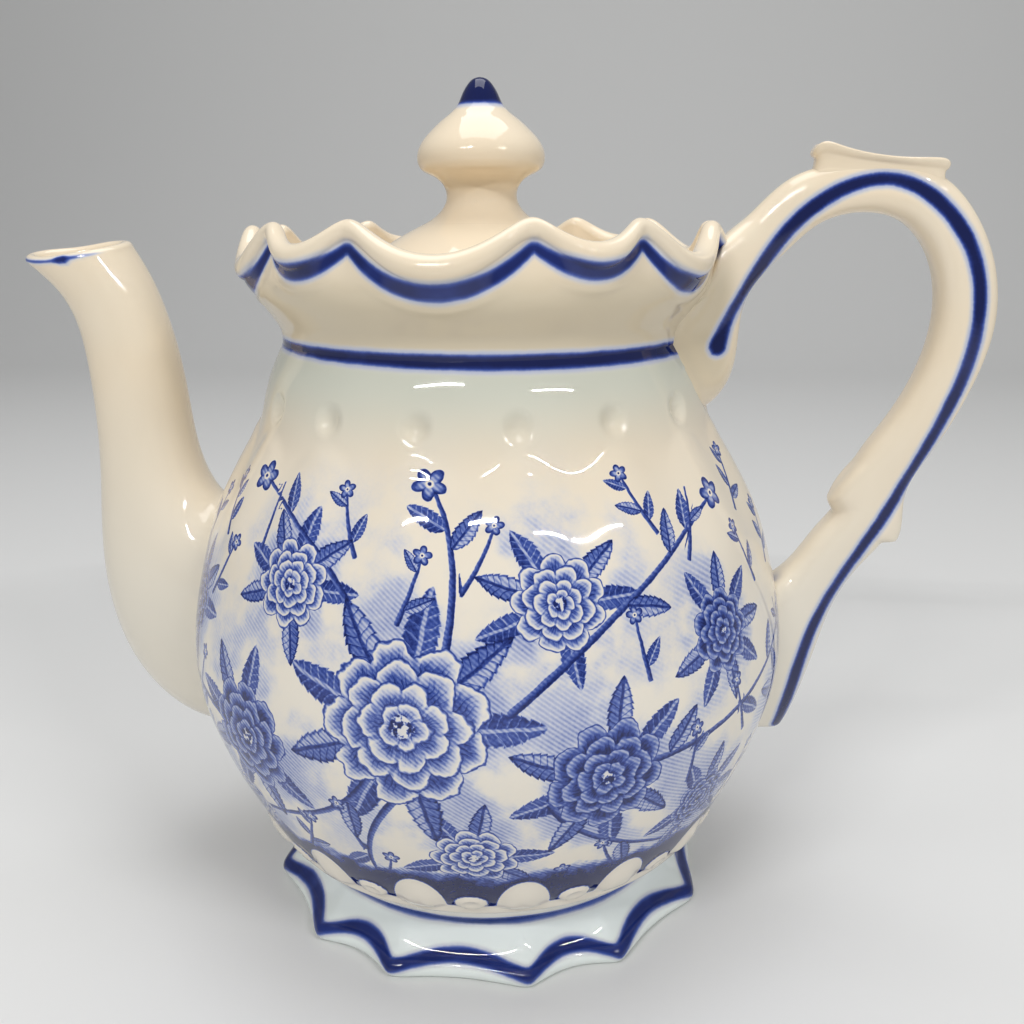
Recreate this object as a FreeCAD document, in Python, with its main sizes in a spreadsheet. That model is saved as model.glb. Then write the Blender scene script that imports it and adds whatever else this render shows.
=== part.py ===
import FreeCAD, Part
import math
import os
from collections import namedtuple

import Sketcher

# Lidded porcelain teapot, in millimetres. The pot's axis is Z and it stands on Z = 0.
# The spout points to -X, the handle to +X, and the front of the pot faces -Y.

Vector = FreeCAD.Vector
Rotation = FreeCAD.Rotation

# Driving sizes, one cell each. Heights are above the table unless the name says otherwise.
SIZES = {
    # Foot: a flared ring with concave scallops between points.
    "foot_height": 13.9,
    "foot_radius": 61.0,
    "foot_scallops": 12,
    "foot_scallop_depth": 3.8,
    "foot_rim": 5.0,
    "foot_wall": 6.0,
    # Belly: the round vessel, from its waist on the foot to the neck under the collar.
    "waist_radius": 52.2,
    "belly_radius": 79.5,
    "belly_height": 72.0,
    "shoulder_radius": 59.5,
    "shoulder_height": 130.5,
    "neck_radius": 51.6,
    "neck_height": 153.0,
    "wall": 4.5,
    "floor_thickness": 5.0,
    # Strainer: round holes pierced in the belly wall behind the spout.
    "strainer_height": 70.0,
    "strainer_ring": 10.0,
    "strainer_hole": 5.0,
    "strainer_holes": 6,
    # Collar: a flaring crown. Its lobes meet in pinched joints, and its rim dips between them.
    "collar_rise": 30.6,
    "collar_lip_radius": 61.5,
    "collar_lip": 5.5,
    "collar_pinch": 3.5,
    "collar_dip": 7.2,
    "collar_lobes": 12,
    "front_lobe_angle": 40.0,
    # Seat for the lid, inside the neck.
    "seat_width": 6.0,
    "seat_thickness": 5.0,
    # Lid: a domed cover with a flange below and a knob above.
    "lid_rest_gap": 0.3,
    "lid_edge_gap": 1.0,
    "lid_edge": 4.2,
    "lid_rise": 30.3,
    "lid_wall": 4.0,
    "flange_gap": 0.5,
    "flange_wall": 3.5,
    "flange_depth": 12.0,
    "vent_hole": 3.0,
    "vent_offset": 24.0,
    "knob_base_radius": 14.1,
    "knob_stem_radius": 9.6,
    "knob_radius": 16.0,
    "knob_height": 32.4,
    # Spout: its reach is past the widest part of the belly.
    "spout_reach": 45.0,
    "spout_root_height": 36.9,
    "spout_mouth_height": 176.0,
    "spout_root_depth": 70.0,
    "spout_root_width": 38.0,
    "spout_stem_depth": 24.8,
    "spout_stem_width": 21.0,
    "spout_wall": 3.2,
    # Handle: its reach is past the widest part of the belly.
    "handle_reach": 47.3,
    "handle_foot_height": 46.1,
    "handle_crest_rise": 41.4,
    "handle_depth": 14.4,
    "handle_width": 12.0,
    # Thumb rest: a saddle-shaped leaf on the crest of the handle.
    "thumb_rest_length": 30.0,
    "thumb_rest_width": 11.0,
    "thumb_rest_dip": 2.2,
    "thumb_rest_horn": 4.5,
}

doc = FreeCAD.newDocument("teapot")
sheet = doc.addObject("Spreadsheet::Sheet", "pot")
for row, (alias, number) in enumerate(SIZES.items(), start=1):
    sheet.set(f"A{row}", str(number))
    sheet.setAlias(f"A{row}", alias)
doc.recompute()

# An outline is a list of corners. Each corner has its place, as expressions of the sheet's
# sizes, and the points that a curve passes through on its way to the next corner.
Corner = namedtuple("Corner", "x z via", defaults=((),))

# A station of a spout or handle: its centre, the half sizes of its oval in the plane of the
# pot's axis and across it, and the tilt of the oval's long axis from +X, in degrees.
Station = namedtuple("Station", "x z half_depth half_width tilt")
OVAL_POINTS = 12
OVAL_FULLNESS = 0.03


def value(text):
    """The number that an expression of the sheet's sizes gives."""
    return float(sheet.evalExpression(text))


def mix(start, end, share):
    """An expression for the value that lies this share of the way from start to end."""
    return f"(({start}) + {share} * (({end}) - ({start})))"


def origin_plane(body, role):
    """One of a body's own origin planes, by its role."""
    return next(plane for plane in body.Origin.OriginFeatures if plane.Role == role)


def new_sketch(body, name, role):
    """An empty sketch on one of the body's origin planes."""
    sketch = body.newObject("Sketcher::SketchObject", name)
    sketch.AttachmentSupport = [(origin_plane(body, role), "")]
    sketch.MapMode = "FlatFace"
    return sketch


def place_point(sketch, geometry, point, x, z):
    """Hold a point of the sketch at a place given by two expressions."""
    for kind, text in (("DistanceX", x), ("DistanceY", z)):
        index = sketch.addConstraint(
            Sketcher.Constraint(kind, -1, 1, geometry, point, value(text))
        )
        sketch.setExpression(f"Constraints[{index}]", text)


def draw_outline(sketch, corners):
    """A closed outline through the corners, with straight or curved edges between them."""
    for corner, following in zip(corners, corners[1:] + corners[:1]):
        places = [(corner.x, corner.z), *corner.via, (following.x, following.z)]
        points = [Vector(value(x), value(z), 0) for x, z in places]
        if corner.via:
            edge = Part.BSplineCurve()
            edge.interpolate(points)
        else:
            edge = Part.LineSegment(*points)
        geometry = sketch.addGeometry(edge, False)
        place_point(sketch, geometry, 1, corner.x, corner.z)
    last = len(corners) - 1
    for geometry in range(len(corners)):
        following = 0 if geometry == last else geometry + 1
        sketch.addConstraint(Sketcher.Constraint("Coincident", geometry, 2, following, 1))


def turned_body(name, corners):
    """A piece turned about the pot's axis from a closed outline."""
    body = doc.addObject("PartDesign::Body", name)
    sketch = new_sketch(body, f"{name}_profile", "XZ_Plane")
    draw_outline(sketch, corners)
    turn = body.newObject("PartDesign::Revolution", f"{name}_turn")
    turn.Profile = sketch
    turn.ReferenceAxis = (sketch, ["V_Axis"])
    turn.Angle = 360
    body.Tip = turn
    doc.recompute()
    return body


def cut_through(body, sketch, name, length, upwards):
    """Pocket the sketch's outline through the body, and check that it took material away."""
    before = body.Shape.Volume
    pocket = body.newObject("PartDesign::Pocket", name)
    pocket.Profile = sketch
    pocket.Type = "Length"
    pocket.Reversed = upwards
    pocket.setExpression("Length", length)
    body.Tip = pocket
    doc.recompute()
    if not body.Shape.Volume < before:
        raise RuntimeError(f"{name} cut nothing")


def trimmed(name, base, tool):
    """The base piece with the tool's shape cut out of it."""
    cut = doc.addObject("Part::Cut", name)
    cut.Base = base
    cut.Tool = tool
    doc.recompute()
    return cut


def polar(radius, degrees):
    """A point on a plan, by its radius and its angle from +X."""
    angle = math.radians(degrees)
    return Vector(radius * math.cos(angle), radius * math.sin(angle), 0)


def draw_trim_ring(sketch, joints, joint_radius, middle_radius, outer_radius):
    """A ring to cut away: a round outside, and an inside of arcs that meet at the joints."""
    sketch.addGeometry(Part.Circle(Vector(), Vector(0, 0, 1), outer_radius), False)
    for angle, following in zip(joints, joints[1:] + [joints[0] + 360]):
        arc = Part.Arc(
            polar(joint_radius, angle),
            polar(middle_radius, (angle + following) / 2),
            polar(joint_radius, following),
        )
        sketch.addGeometry(arc, False)


def oval(station, inset):
    """A station's closed oval, drawn in by the inset and a little fuller than an ellipse."""
    half_depth = value(f"{station.half_depth} - {inset}")
    half_width = value(f"{station.half_width} - {inset}")
    tilt = math.radians(station.tilt)
    centre = Vector(value(station.x), 0, value(station.z))
    along = Vector(math.cos(tilt), 0, math.sin(tilt)) * half_depth
    across = Vector(0, half_width, 0)
    points = []
    for number in range(OVAL_POINTS):
        turn = 2 * math.pi * number / OVAL_POINTS
        fullness = 1 + OVAL_FULLNESS * math.sin(2 * turn) ** 2
        points.append(centre + (along * math.cos(turn) + across * math.sin(turn)) * fullness)
    shares = [number / OVAL_POINTS for number in range(OVAL_POINTS + 1)]
    curve = Part.BSplineCurve()
    curve.interpolate(Points=points, PeriodicFlag=True, Parameters=shares)
    return curve


def lofted_form(name, stations, inset):
    """A solid whose skin passes through the ovals of its stations, with flat ends."""
    ovals = [oval(station, inset) for station in stations]
    skin = Part.BSplineSurface()
    skin.buildFromNSections(ovals)
    ends = [Part.Face(Part.Wire([curve.toShape()])) for curve in (ovals[0], ovals[-1])]
    shell = Part.makeShell([skin.toShape(), *ends])
    shell.sewShape()
    solid = Part.makeSolid(shell)
    if solid.Volume < 0:
        solid.reverse()
    form = doc.addObject("Part::Feature", name)
    form.Shape = solid
    doc.recompute()
    return form


# Belly

# Points on the belly's curve, as shares of the way up and of the way in or out: below the
# widest ring between the waist and that ring, and above it between that ring and the shoulder.
BELLY_BELOW = ((0.21, 0.42), (0.535, 0.74))
BELLY_ABOVE = ((0.39, 0.165), (0.77, 0.62))
# How far the neck swells past a straight cone, and where on its way up.
NECK_SWELL = 0.85
NECK_SWELL_HEIGHT = 0.5


def belly_curve(inset):
    """Points on the belly's curve from the waist to the shoulder, drawn in by the inset."""
    points = [
        (
            mix("pot.waist_radius", "pot.belly_radius", out) + f" - {inset}",
            mix("pot.foot_height", "pot.belly_height", up),
        )
        for up, out in BELLY_BELOW
    ]
    points.append((f"pot.belly_radius - {inset}", "pot.belly_height"))
    points += [
        (
            mix("pot.belly_radius", "pot.shoulder_radius", drawn_in) + f" - {inset}",
            mix("pot.belly_height", "pot.shoulder_height", up),
        )
        for up, drawn_in in BELLY_ABOVE
    ]
    return points


def neck_curve(inset):
    """The fullest point of the neck's gentle swell, between the shoulder and the collar."""
    radius = mix("pot.shoulder_radius", "pot.neck_radius", NECK_SWELL_HEIGHT)
    height = mix("pot.shoulder_height", "pot.neck_height", NECK_SWELL_HEIGHT)
    return [(f"{radius} + {NECK_SWELL} - {inset}", height)]


def belly_outside():
    """The belly's outer corners, from the edge of its floor to the top of the neck."""
    return [
        Corner("pot.waist_radius", "pot.foot_height", tuple(belly_curve("0"))),
        Corner("pot.shoulder_radius", "pot.shoulder_height", tuple(neck_curve("0"))),
        Corner("pot.neck_radius", "pot.neck_height"),
    ]


def make_belly_form():
    """The belly's outer form, filled, which trims the pieces that are luted to it."""
    corners = [Corner("0", "pot.foot_height"), *belly_outside(), Corner("0", "pot.neck_height")]
    return turned_body("belly_form", corners)


def make_belly():
    """The vessel: one wall and floor, pierced behind the spout."""
    neck_bore = "pot.neck_radius - pot.wall"
    floor_top = "pot.foot_height + pot.floor_thickness"
    corners = [
        Corner("0", "pot.foot_height"),
        *belly_outside(),
        Corner(neck_bore, "pot.neck_height"),
        Corner(neck_bore, "pot.neck_height - pot.seat_thickness", tuple(neck_curve("pot.wall"))),
        Corner(
            "pot.shoulder_radius - pot.wall",
            "pot.shoulder_height",
            tuple(reversed(belly_curve("pot.wall"))),
        ),
        Corner("pot.waist_radius", floor_top),
        Corner("0", floor_top),
    ]
    body = turned_body("belly", corners)
    holes = new_sketch(body, "strainer", "YZ_Plane")
    count = int(value("pot.strainer_holes"))
    centres = [("0", "pot.strainer_height")]
    for number in range(count):
        turn = f"{360 / count * number} deg"
        centres.append(
            (
                f"pot.strainer_ring * cos({turn})",
                f"pot.strainer_height + pot.strainer_ring * sin({turn})",
            )
        )
    for y, z in centres:
        centre = Vector(value(y), value(z), 0)
        circle = Part.Circle(centre, Vector(0, 0, 1), value("pot.strainer_hole / 2"))
        geometry = holes.addGeometry(circle, False)
        place_point(holes, geometry, 3, y, z)
        index = holes.addConstraint(
            Sketcher.Constraint("Diameter", geometry, value("pot.strainer_hole"))
        )
        holes.setExpression(f"Constraints[{index}]", "pot.strainer_hole")
    cut_through(body, holes, "strainer_holes", "pot.belly_radius + pot.wall", False)
    return body


# Foot

# Spare width outside the points of the scallops, which the trim takes away.
SCALLOP_SPARE = 1.0
# A point on the hollow of the skirt, as shares of the way out and of the way down.
SKIRT = (0.34, 0.58)


def make_foot():
    """The flared ring under the belly, trimmed to scallops that meet in points."""
    out, down = SKIRT
    skirt = (
        (
            mix("pot.waist_radius", "pot.foot_radius", out),
            mix("pot.foot_height", "pot.foot_rim", down),
        ),
    )
    edge = f"pot.foot_radius + {SCALLOP_SPARE}"
    corners = [
        Corner("pot.waist_radius", "pot.foot_height", skirt),
        Corner(edge, "pot.foot_rim"),
        Corner(edge, "0"),
        Corner("pot.foot_radius - pot.foot_scallop_depth - pot.foot_wall", "0"),
        Corner("pot.waist_radius - pot.foot_wall", "pot.foot_height"),
    ]
    body = turned_body("foot", corners)
    count = int(value("pot.foot_scallops"))
    step = 360 / count
    joints = [step / 2 + step * number for number in range(count)]
    trim = new_sketch(body, "scallops", "XY_Plane")
    radius = value("pot.foot_radius")
    draw_trim_ring(
        trim, joints, radius, radius - value("pot.foot_scallop_depth"), radius + value("pot.foot_wall")
    )
    cut_through(body, trim, "scallop_trim", "pot.foot_height", True)
    return body


# Collar

# Points on the collar's flare, as shares of its rise and of its reach past the neck.
FLARE = ((0.21, 0.2), (0.39, 0.57), (0.62, 0.8))
LIP_SHARE = 0.9
# How far the arc of a lobe rises past the lip, so that the middle of the lip stays whole.
LOBE_CROWN = 0.4
# The outside of the ring that trims the lobes, as a share of the lip's radius.
TRIM_REACH = 1.5


def flare_points(inset):
    """Points on the collar's flare from the neck up to the lip, drawn in by the inset."""
    return [
        (
            mix("pot.neck_radius", "pot.collar_lip_radius", out) + f" - {inset}",
            f"pot.neck_height + {up} * pot.collar_rise",
        )
        for up, out in FLARE
    ]


def lobe_joints():
    """Angles of the pinched joints: one wide lobe at the front, and equal ones all round."""
    wide = value("pot.front_lobe_angle")
    others = int(value("pot.collar_lobes")) - 1
    narrow = (360 - wide) / others
    return [-90 + wide / 2 + narrow * number for number in range(others + 1)]


def trim_to_lobes(body):
    """Trim the collar's plan to rounded lobes that meet in pinched joints."""
    lip = value("pot.collar_lip_radius")
    trim = new_sketch(body, f"{body.Name}_lobes", "XY_Plane")
    joint = lip - value("pot.collar_pinch")
    draw_trim_ring(trim, lobe_joints(), joint, lip + LOBE_CROWN, lip * TRIM_REACH)
    above = "pot.neck_height + pot.collar_rise + pot.collar_lip"
    cut_through(body, trim, f"{body.Name}_lobe_trim", above, True)


def make_collar_form():
    """The collar's outer form, filled, which trims the handle."""
    top = "pot.neck_height + pot.collar_rise"
    lip_height = f"pot.neck_height + {LIP_SHARE} * pot.collar_rise"
    corners = [
        Corner("0", "pot.neck_height"),
        Corner("pot.neck_radius", "pot.neck_height", tuple(flare_points("0"))),
        Corner("pot.collar_lip_radius", lip_height),
        Corner("pot.collar_lip_radius", top),
        Corner("0", top),
    ]
    body = turned_body("collar_form", corners)
    trim_to_lobes(body)
    return body


def make_rim_dips():
    """Round bars that lie across the rim and dip it in the middle of each lobe."""
    joints = lobe_joints()
    bars = []
    for angle, following in zip(joints, joints[1:] + [joints[0] + 360]):
        half = (following - angle) / 2
        outward = polar(1, angle + half)
        chord = f"pot.collar_lip_radius * sin({half} deg)"
        bend = f"(({chord}) ^ 2 + pot.collar_dip ^ 2) / (2 * pot.collar_dip)"
        bar = doc.addObject("Part::Cylinder", "rim_dip")
        bar.Placement = FreeCAD.Placement(Vector(), Rotation(Vector(0, 0, 1), outward))
        bar.setExpression("Radius", bend)
        bar.setExpression("Height", "pot.collar_lip_radius")
        start = "pot.collar_lip_radius / 2"
        bar.setExpression("Placement.Base.x", f"{outward.x} * {start}")
        bar.setExpression("Placement.Base.y", f"{outward.y} * {start}")
        bar.setExpression(
            "Placement.Base.z",
            f"pot.neck_height + pot.collar_rise - pot.collar_dip + {bend}",
        )
        bars.append(bar)
    dips = doc.addObject("Part::MultiFuse", "rim_dips")
    dips.Shapes = bars
    doc.recompute()
    return dips


def make_collar():
    """The crown collar on the neck, with a rolled lip that dips in the middle of each lobe."""
    bore = "pot.neck_radius - pot.wall"
    lip_height = f"pot.neck_height + {LIP_SHARE} * pot.collar_rise"
    top = "pot.neck_height + pot.collar_rise"
    lip_inside = "pot.collar_lip_radius - pot.collar_lip"
    lip_middle = "pot.collar_lip_radius - pot.collar_lip / 2"
    corners = [
        Corner("pot.neck_radius", "pot.neck_height", tuple(flare_points("0"))),
        Corner("pot.collar_lip_radius", lip_height, ((lip_middle, top),)),
        Corner(lip_inside, lip_height, tuple(reversed(flare_points("pot.wall")))),
        Corner(bore, "pot.neck_height"),
    ]
    body = turned_body("collar_casting", corners)
    trim_to_lobes(body)
    return trimmed("collar", body, make_rim_dips())


# Seat and lid

SEAT_BORE = "pot.neck_radius - pot.wall - pot.seat_width"
LID_BASE = "pot.neck_height + pot.lid_rest_gap"
LID_RADIUS = "pot.neck_radius - pot.wall - pot.lid_edge_gap"
FLANGE_RADIUS = f"{SEAT_BORE} - pot.flange_gap"
FLANGE_BORE = f"{FLANGE_RADIUS} - pot.flange_wall"
KNOB_BASE = f"{LID_BASE} + pot.lid_rise"

# Points on the lid's bell curve, as shares of the way in and of the way up.
BELL = ((0.3, 0.17), (0.63, 0.46))


def make_seat():
    """The ring inside the neck, level with its top, that the lid rests on."""
    outside = "pot.neck_radius - pot.wall"
    underside = "pot.neck_height - pot.seat_thickness"
    corners = [
        Corner(SEAT_BORE, underside),
        Corner(outside, underside),
        Corner(outside, "pot.neck_height"),
        Corner(SEAT_BORE, "pot.neck_height"),
    ]
    return turned_body("lid_seat", corners)


def make_cover():
    """The domed cover, hollow underneath, with a steam hole on the handle's side."""
    edge_top = f"{LID_BASE} + pot.lid_edge"
    outer = tuple(
        (mix(LID_RADIUS, "pot.knob_base_radius", inward), mix(edge_top, KNOB_BASE, up))
        for inward, up in BELL
    )
    knob_seat = "2 * pot.lid_wall"
    hollow_top = f"{KNOB_BASE} - {knob_seat}"
    inner = tuple((f"{r} - pot.lid_wall / 2", f"{z} - pot.lid_wall") for r, z in reversed(outer))
    corners = [
        Corner(LID_RADIUS, LID_BASE),
        Corner(LID_RADIUS, edge_top, outer),
        Corner("pot.knob_base_radius", KNOB_BASE),
        Corner("0", KNOB_BASE),
        Corner("0", hollow_top),
        Corner("pot.knob_base_radius / 2", hollow_top, inner),
        Corner(FLANGE_BORE, LID_BASE),
    ]
    body = turned_body("lid_cover", corners)
    vent = new_sketch(body, "vent", "XY_Plane")
    centre = Vector(value("pot.vent_offset"), 0, 0)
    circle = Part.Circle(centre, Vector(0, 0, 1), value("pot.vent_hole / 2"))
    geometry = vent.addGeometry(circle, False)
    vent.addConstraint(Sketcher.Constraint("PointOnObject", geometry, 3, -1))
    for kind, elements, text in (
        ("DistanceX", (-1, 1, geometry, 3), "pot.vent_offset"),
        ("Diameter", (geometry,), "pot.vent_hole"),
    ):
        index = vent.addConstraint(Sketcher.Constraint(kind, *elements, value(text)))
        vent.setExpression(f"Constraints[{index}]", text)
    cut_through(body, vent, "vent_cut", KNOB_BASE, True)
    return body


def make_flange():
    """The ring under the cover that drops inside the seat and keeps the lid in place."""
    underside = f"{LID_BASE} - pot.flange_depth"
    corners = [
        Corner(FLANGE_BORE, underside),
        Corner(FLANGE_RADIUS, underside),
        Corner(FLANGE_RADIUS, LID_BASE),
        Corner(FLANGE_BORE, LID_BASE),
    ]
    return turned_body("lid_flange", corners)


# Points on the knob below and above its widest ring, as shares of its radius and its height.
KNOB_STEM_HEIGHT = 0.2
KNOB_BELOW = ((0.76, 0.28), (0.955, 0.335))
KNOB_WIDEST_HEIGHT = 0.4
KNOB_ABOVE = ((0.968, 0.5), (0.806, 0.611), (0.56, 0.722), (0.35, 0.833), (0.22, 0.944))


def make_knob():
    """The onion-shaped knob on a waisted stem, drawn up to a rounded tip."""

    def at(share):
        return f"{KNOB_BASE} + {share} * pot.knob_height"

    def around(points):
        return [(f"{out} * pot.knob_radius", at(up)) for out, up in points]

    curve = (
        ("pot.knob_stem_radius", at(KNOB_STEM_HEIGHT)),
        *around(KNOB_BELOW),
        ("pot.knob_radius", at(KNOB_WIDEST_HEIGHT)),
        *around(KNOB_ABOVE),
    )
    corners = [
        Corner("0", KNOB_BASE),
        Corner("pot.knob_base_radius", KNOB_BASE, curve),
        Corner("0", at(1)),
    ]
    return turned_body("lid_knob", corners)


# Spout

# The spout's path from inside the belly to its mouth. Each row gives the share of its reach,
# the share of its climb, how far it swells from its stem to its root, and its tilt.
SPOUT_PATH = (
    (-0.25, 0.264, 1.0, 270),
    (0.072, 0.279, 0.92, 257),
    (0.237, 0.331, 0.76, 244),
    (0.33, 0.403, 0.54, 231),
    (0.37, 0.58, 0.115, 203),
    (0.395, 0.78, 0.0, 182),
    (0.532, 0.932, 0.0, 184),
    (0.685, 1.0, 0.075, 185),
)
BORE_OVERSHOOT = 1.5


def spout_stations():
    """The spout's ovals, from its root inside the belly to its mouth."""
    stations = []
    for out, up, swell, tilt in SPOUT_PATH:
        stations.append(
            Station(
                f"-pot.belly_radius - {out} * pot.spout_reach",
                mix("pot.spout_root_height", "pot.spout_mouth_height", up),
                mix("pot.spout_stem_depth", "pot.spout_root_depth", swell) + " / 2",
                mix("pot.spout_stem_width", "pot.spout_root_width", swell) + " / 2",
                tilt,
            )
        )
    return stations


def make_spout(belly_form):
    """The hollow spout, trimmed where its root meets the belly."""
    stations = spout_stations()
    root, mouth = stations[0], stations[-1]
    bore_stations = [
        root._replace(x=f"{root.x} + {BORE_OVERSHOOT}"),
        *stations[1:-1],
        mouth._replace(z=f"{mouth.z} + {BORE_OVERSHOOT}"),
    ]
    outside = lofted_form("spout_form", stations, "0")
    bore = lofted_form("spout_bore", bore_stations, "pot.spout_wall")
    return trimmed("spout", trimmed("spout_casting", outside, bore), belly_form)


# Handle

# The handle's path from its upper root on the collar, over the crest and down to the knuckle.
# Each row gives the share of its reach past the neck, the share of its climb, its depth as a
# share of the plain depth, and its tilt.
HANDLE_LOOP = (
    (-0.05, 0.727, 2.6, 90),
    (0.101, 0.751, 2.0, 111),
    (0.161, 0.829, 1.19, 120),
    (0.249, 0.887, 0.9, 132),
    (0.373, 0.942, 0.91, 118),
    (0.562, 0.962, 0.8, 90),
    (0.718, 0.945, 0.84, 62),
    (0.829, 0.896, 0.925, 35),
    (0.906, 0.754, 1.01, -4),
    (0.867, 0.66, 0.97, -18),
    (0.761, 0.549, 1.0, -27),
    (0.674, 0.47, 1.12, -30),
    (0.635, 0.402, 1.44, -28),
    (0.567, 0.353, 1.04, -38),
    (0.474, 0.28, 1.11, -35),
)
# The lower root, placed from the belly's widest radius: offset, climb, depth and tilt.
HANDLE_ROOT = (
    (0.5, 0.198, 1.56, -28),
    (-3.7, 0.126, 1.7, -26),
    (-9.0, 0.053, 1.79, -25),
)


def handle_height(share):
    """The height at a share of the handle's climb, from its foot to its crest."""
    return mix("pot.handle_foot_height", "(pot.neck_height + pot.handle_crest_rise)", share)


def handle_station(x, up, depth, tilt):
    """One oval of the handle."""
    return Station(
        x, handle_height(up), f"{depth} * pot.handle_depth / 2", "pot.handle_width / 2", tilt
    )


def handle_stations():
    """The handle's ovals, from the root on the collar round to the root on the belly."""
    reach = "(pot.belly_radius + pot.handle_reach)"
    loop = [
        handle_station(mix("pot.neck_radius", reach, out), up, depth, tilt)
        for out, up, depth, tilt in HANDLE_LOOP
    ]
    root = [
        handle_station(f"pot.belly_radius + {offset}", up, depth, tilt)
        for offset, up, depth, tilt in HANDLE_ROOT
    ]
    return loop + root


def make_handle(pot_form):
    """The loop handle, trimmed where its two roots meet the collar and the belly."""
    return trimmed("handle", lofted_form("handle_form", handle_stations(), "0"), pot_form)


# Thumb rest

# Places along the thumb rest, as shares of its length from the crest of the handle, and how
# far each lies below the front horn, as a multiple of its dip.
REST_FRONT = -0.42
REST_SADDLE = (0.12, 1.6)
REST_BACK = (0.58, 2.0)


def make_thumb_rest(handle):
    """The saddle-shaped leaf on the crest, trimmed to sit on the handle."""
    crest = max(handle_stations(), key=lambda station: value(station.z))
    horn = f"{crest.z} + {crest.half_depth} + pot.thumb_rest_horn"

    def along(share):
        return f"{crest.x} + {share} * pot.thumb_rest_length"

    def upper_edge(share, drop):
        return along(share), f"{horn} - {drop} * pot.thumb_rest_dip"

    corners = [
        Corner(along(REST_FRONT), crest.z),
        Corner(along(REST_BACK[0]), crest.z),
        Corner(*upper_edge(*REST_BACK), (upper_edge(*REST_SADDLE),)),
        Corner(along(REST_FRONT), horn),
    ]
    body = doc.addObject("PartDesign::Body", "thumb_rest_blank")
    sketch = new_sketch(body, "thumb_rest_profile", "XZ_Plane")
    draw_outline(sketch, corners)
    pad = body.newObject("PartDesign::Pad", "thumb_rest_pad")
    pad.Profile = sketch
    pad.Midplane = True
    pad.setExpression("Length", "pot.thumb_rest_width")
    body.Tip = pad
    doc.recompute()
    return trimmed("thumb_rest", body, handle)


def make_pieces():
    """Every piece of the pot, by the name of its node."""
    belly_form = make_belly_form()
    pot_form = doc.addObject("Part::MultiFuse", "pot_form")
    pot_form.Shapes = [belly_form, make_collar_form()]
    doc.recompute()
    handle = make_handle(pot_form)
    return [
        make_foot(),
        make_belly(),
        make_collar(),
        make_seat(),
        make_spout(belly_form),
        handle,
        make_thumb_rest(handle),
        make_cover(),
        make_flange(),
        make_knob(),
    ]


def check_document():
    """Stop if any object of the document failed."""
    for item in doc.Objects:
        if "Invalid" in item.State or "Error" in item.State:
            raise RuntimeError(f"{item.Label} failed: {item.State}")


pieces = make_pieces()
check_document()
for piece in pieces:
    if piece.Shape.isNull() or not piece.Shape.isValid():
        raise RuntimeError(f"{piece.Label} has no valid shape")
    if len(piece.Shape.Solids) != 1:
        raise RuntimeError(f"{piece.Label} is in {len(piece.Shape.Solids)} solids")

os.makedirs("parts", exist_ok=True)
for piece in pieces:
    piece.Shape.exportStep(f"parts/{piece.Label}.step")
    box = piece.Shape.BoundBox
    print(
        f"{piece.Label}: {piece.Shape.Volume / 1000:.1f} cm3,"
        f" x {box.XMin:.1f} to {box.XMax:.1f}, y {box.YMin:.1f} to {box.YMax:.1f},"
        f" z {box.ZMin:.1f} to {box.ZMax:.1f}"
    )
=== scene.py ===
"""Dresses a lidded blue-and-white porcelain teapot: each piece is a smooth surface with glaze and painting.

Lengths are in millimetres until a mesh is made. Angles run round the pot's axis from its front (-Y)
towards the handle (+X), so a point at angle a and radius r lies at (r sin a, -r cos a).
"""
import logging
import math
from collections.abc import Callable
from dataclasses import dataclass, field
from enum import Enum

import bpy
import numpy as np
from mathutils import Matrix, Vector


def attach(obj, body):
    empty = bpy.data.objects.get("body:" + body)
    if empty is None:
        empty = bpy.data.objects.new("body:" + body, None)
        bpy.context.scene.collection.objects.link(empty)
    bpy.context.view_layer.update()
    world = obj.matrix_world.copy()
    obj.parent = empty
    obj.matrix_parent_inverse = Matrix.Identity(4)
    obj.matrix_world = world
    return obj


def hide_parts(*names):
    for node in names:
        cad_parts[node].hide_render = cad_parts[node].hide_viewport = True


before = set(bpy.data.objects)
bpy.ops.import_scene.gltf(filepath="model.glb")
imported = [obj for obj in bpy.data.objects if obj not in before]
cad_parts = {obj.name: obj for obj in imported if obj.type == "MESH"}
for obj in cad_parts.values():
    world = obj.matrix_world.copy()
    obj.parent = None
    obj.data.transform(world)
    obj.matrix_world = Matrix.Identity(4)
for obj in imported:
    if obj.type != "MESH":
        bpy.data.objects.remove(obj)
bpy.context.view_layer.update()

MM = 0.001
LOG = logging.getLogger("teapot")
Array = np.ndarray
# The value of a mark where nothing is painted, well outside every band and motif.
UNPAINTED = -9.0


class Body(Enum):
    """The moving bodies of the pot."""

    POT = "pot"
    LID = "lid"


class Slot(Enum):
    """The record's material slots."""

    WHITE = "white_glaze"
    PAINTED = "painted_glaze"


def mix(start: Array | float, end: Array | float, share: Array | float) -> Array | float:
    """The value that lies this share of the way from start to end."""
    return start + (end - start) * share


def ease(low: float, high: float, value: Array) -> Array:
    """A smooth step from 0 at low to 1 at high."""
    share = np.clip((value - low) / (high - low), 0.0, 1.0)
    return share * share * (3.0 - 2.0 * share)


def bell(offset: Array, width: Array | float) -> Array:
    """A bell curve that is 1 at no offset and falls off over the width."""
    return np.exp(-np.square(offset / width))


def wrapped(angle: Array) -> Array:
    """An angle in radians brought between minus pi and pi."""
    return (angle + np.pi) % (2.0 * np.pi) - np.pi


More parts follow.
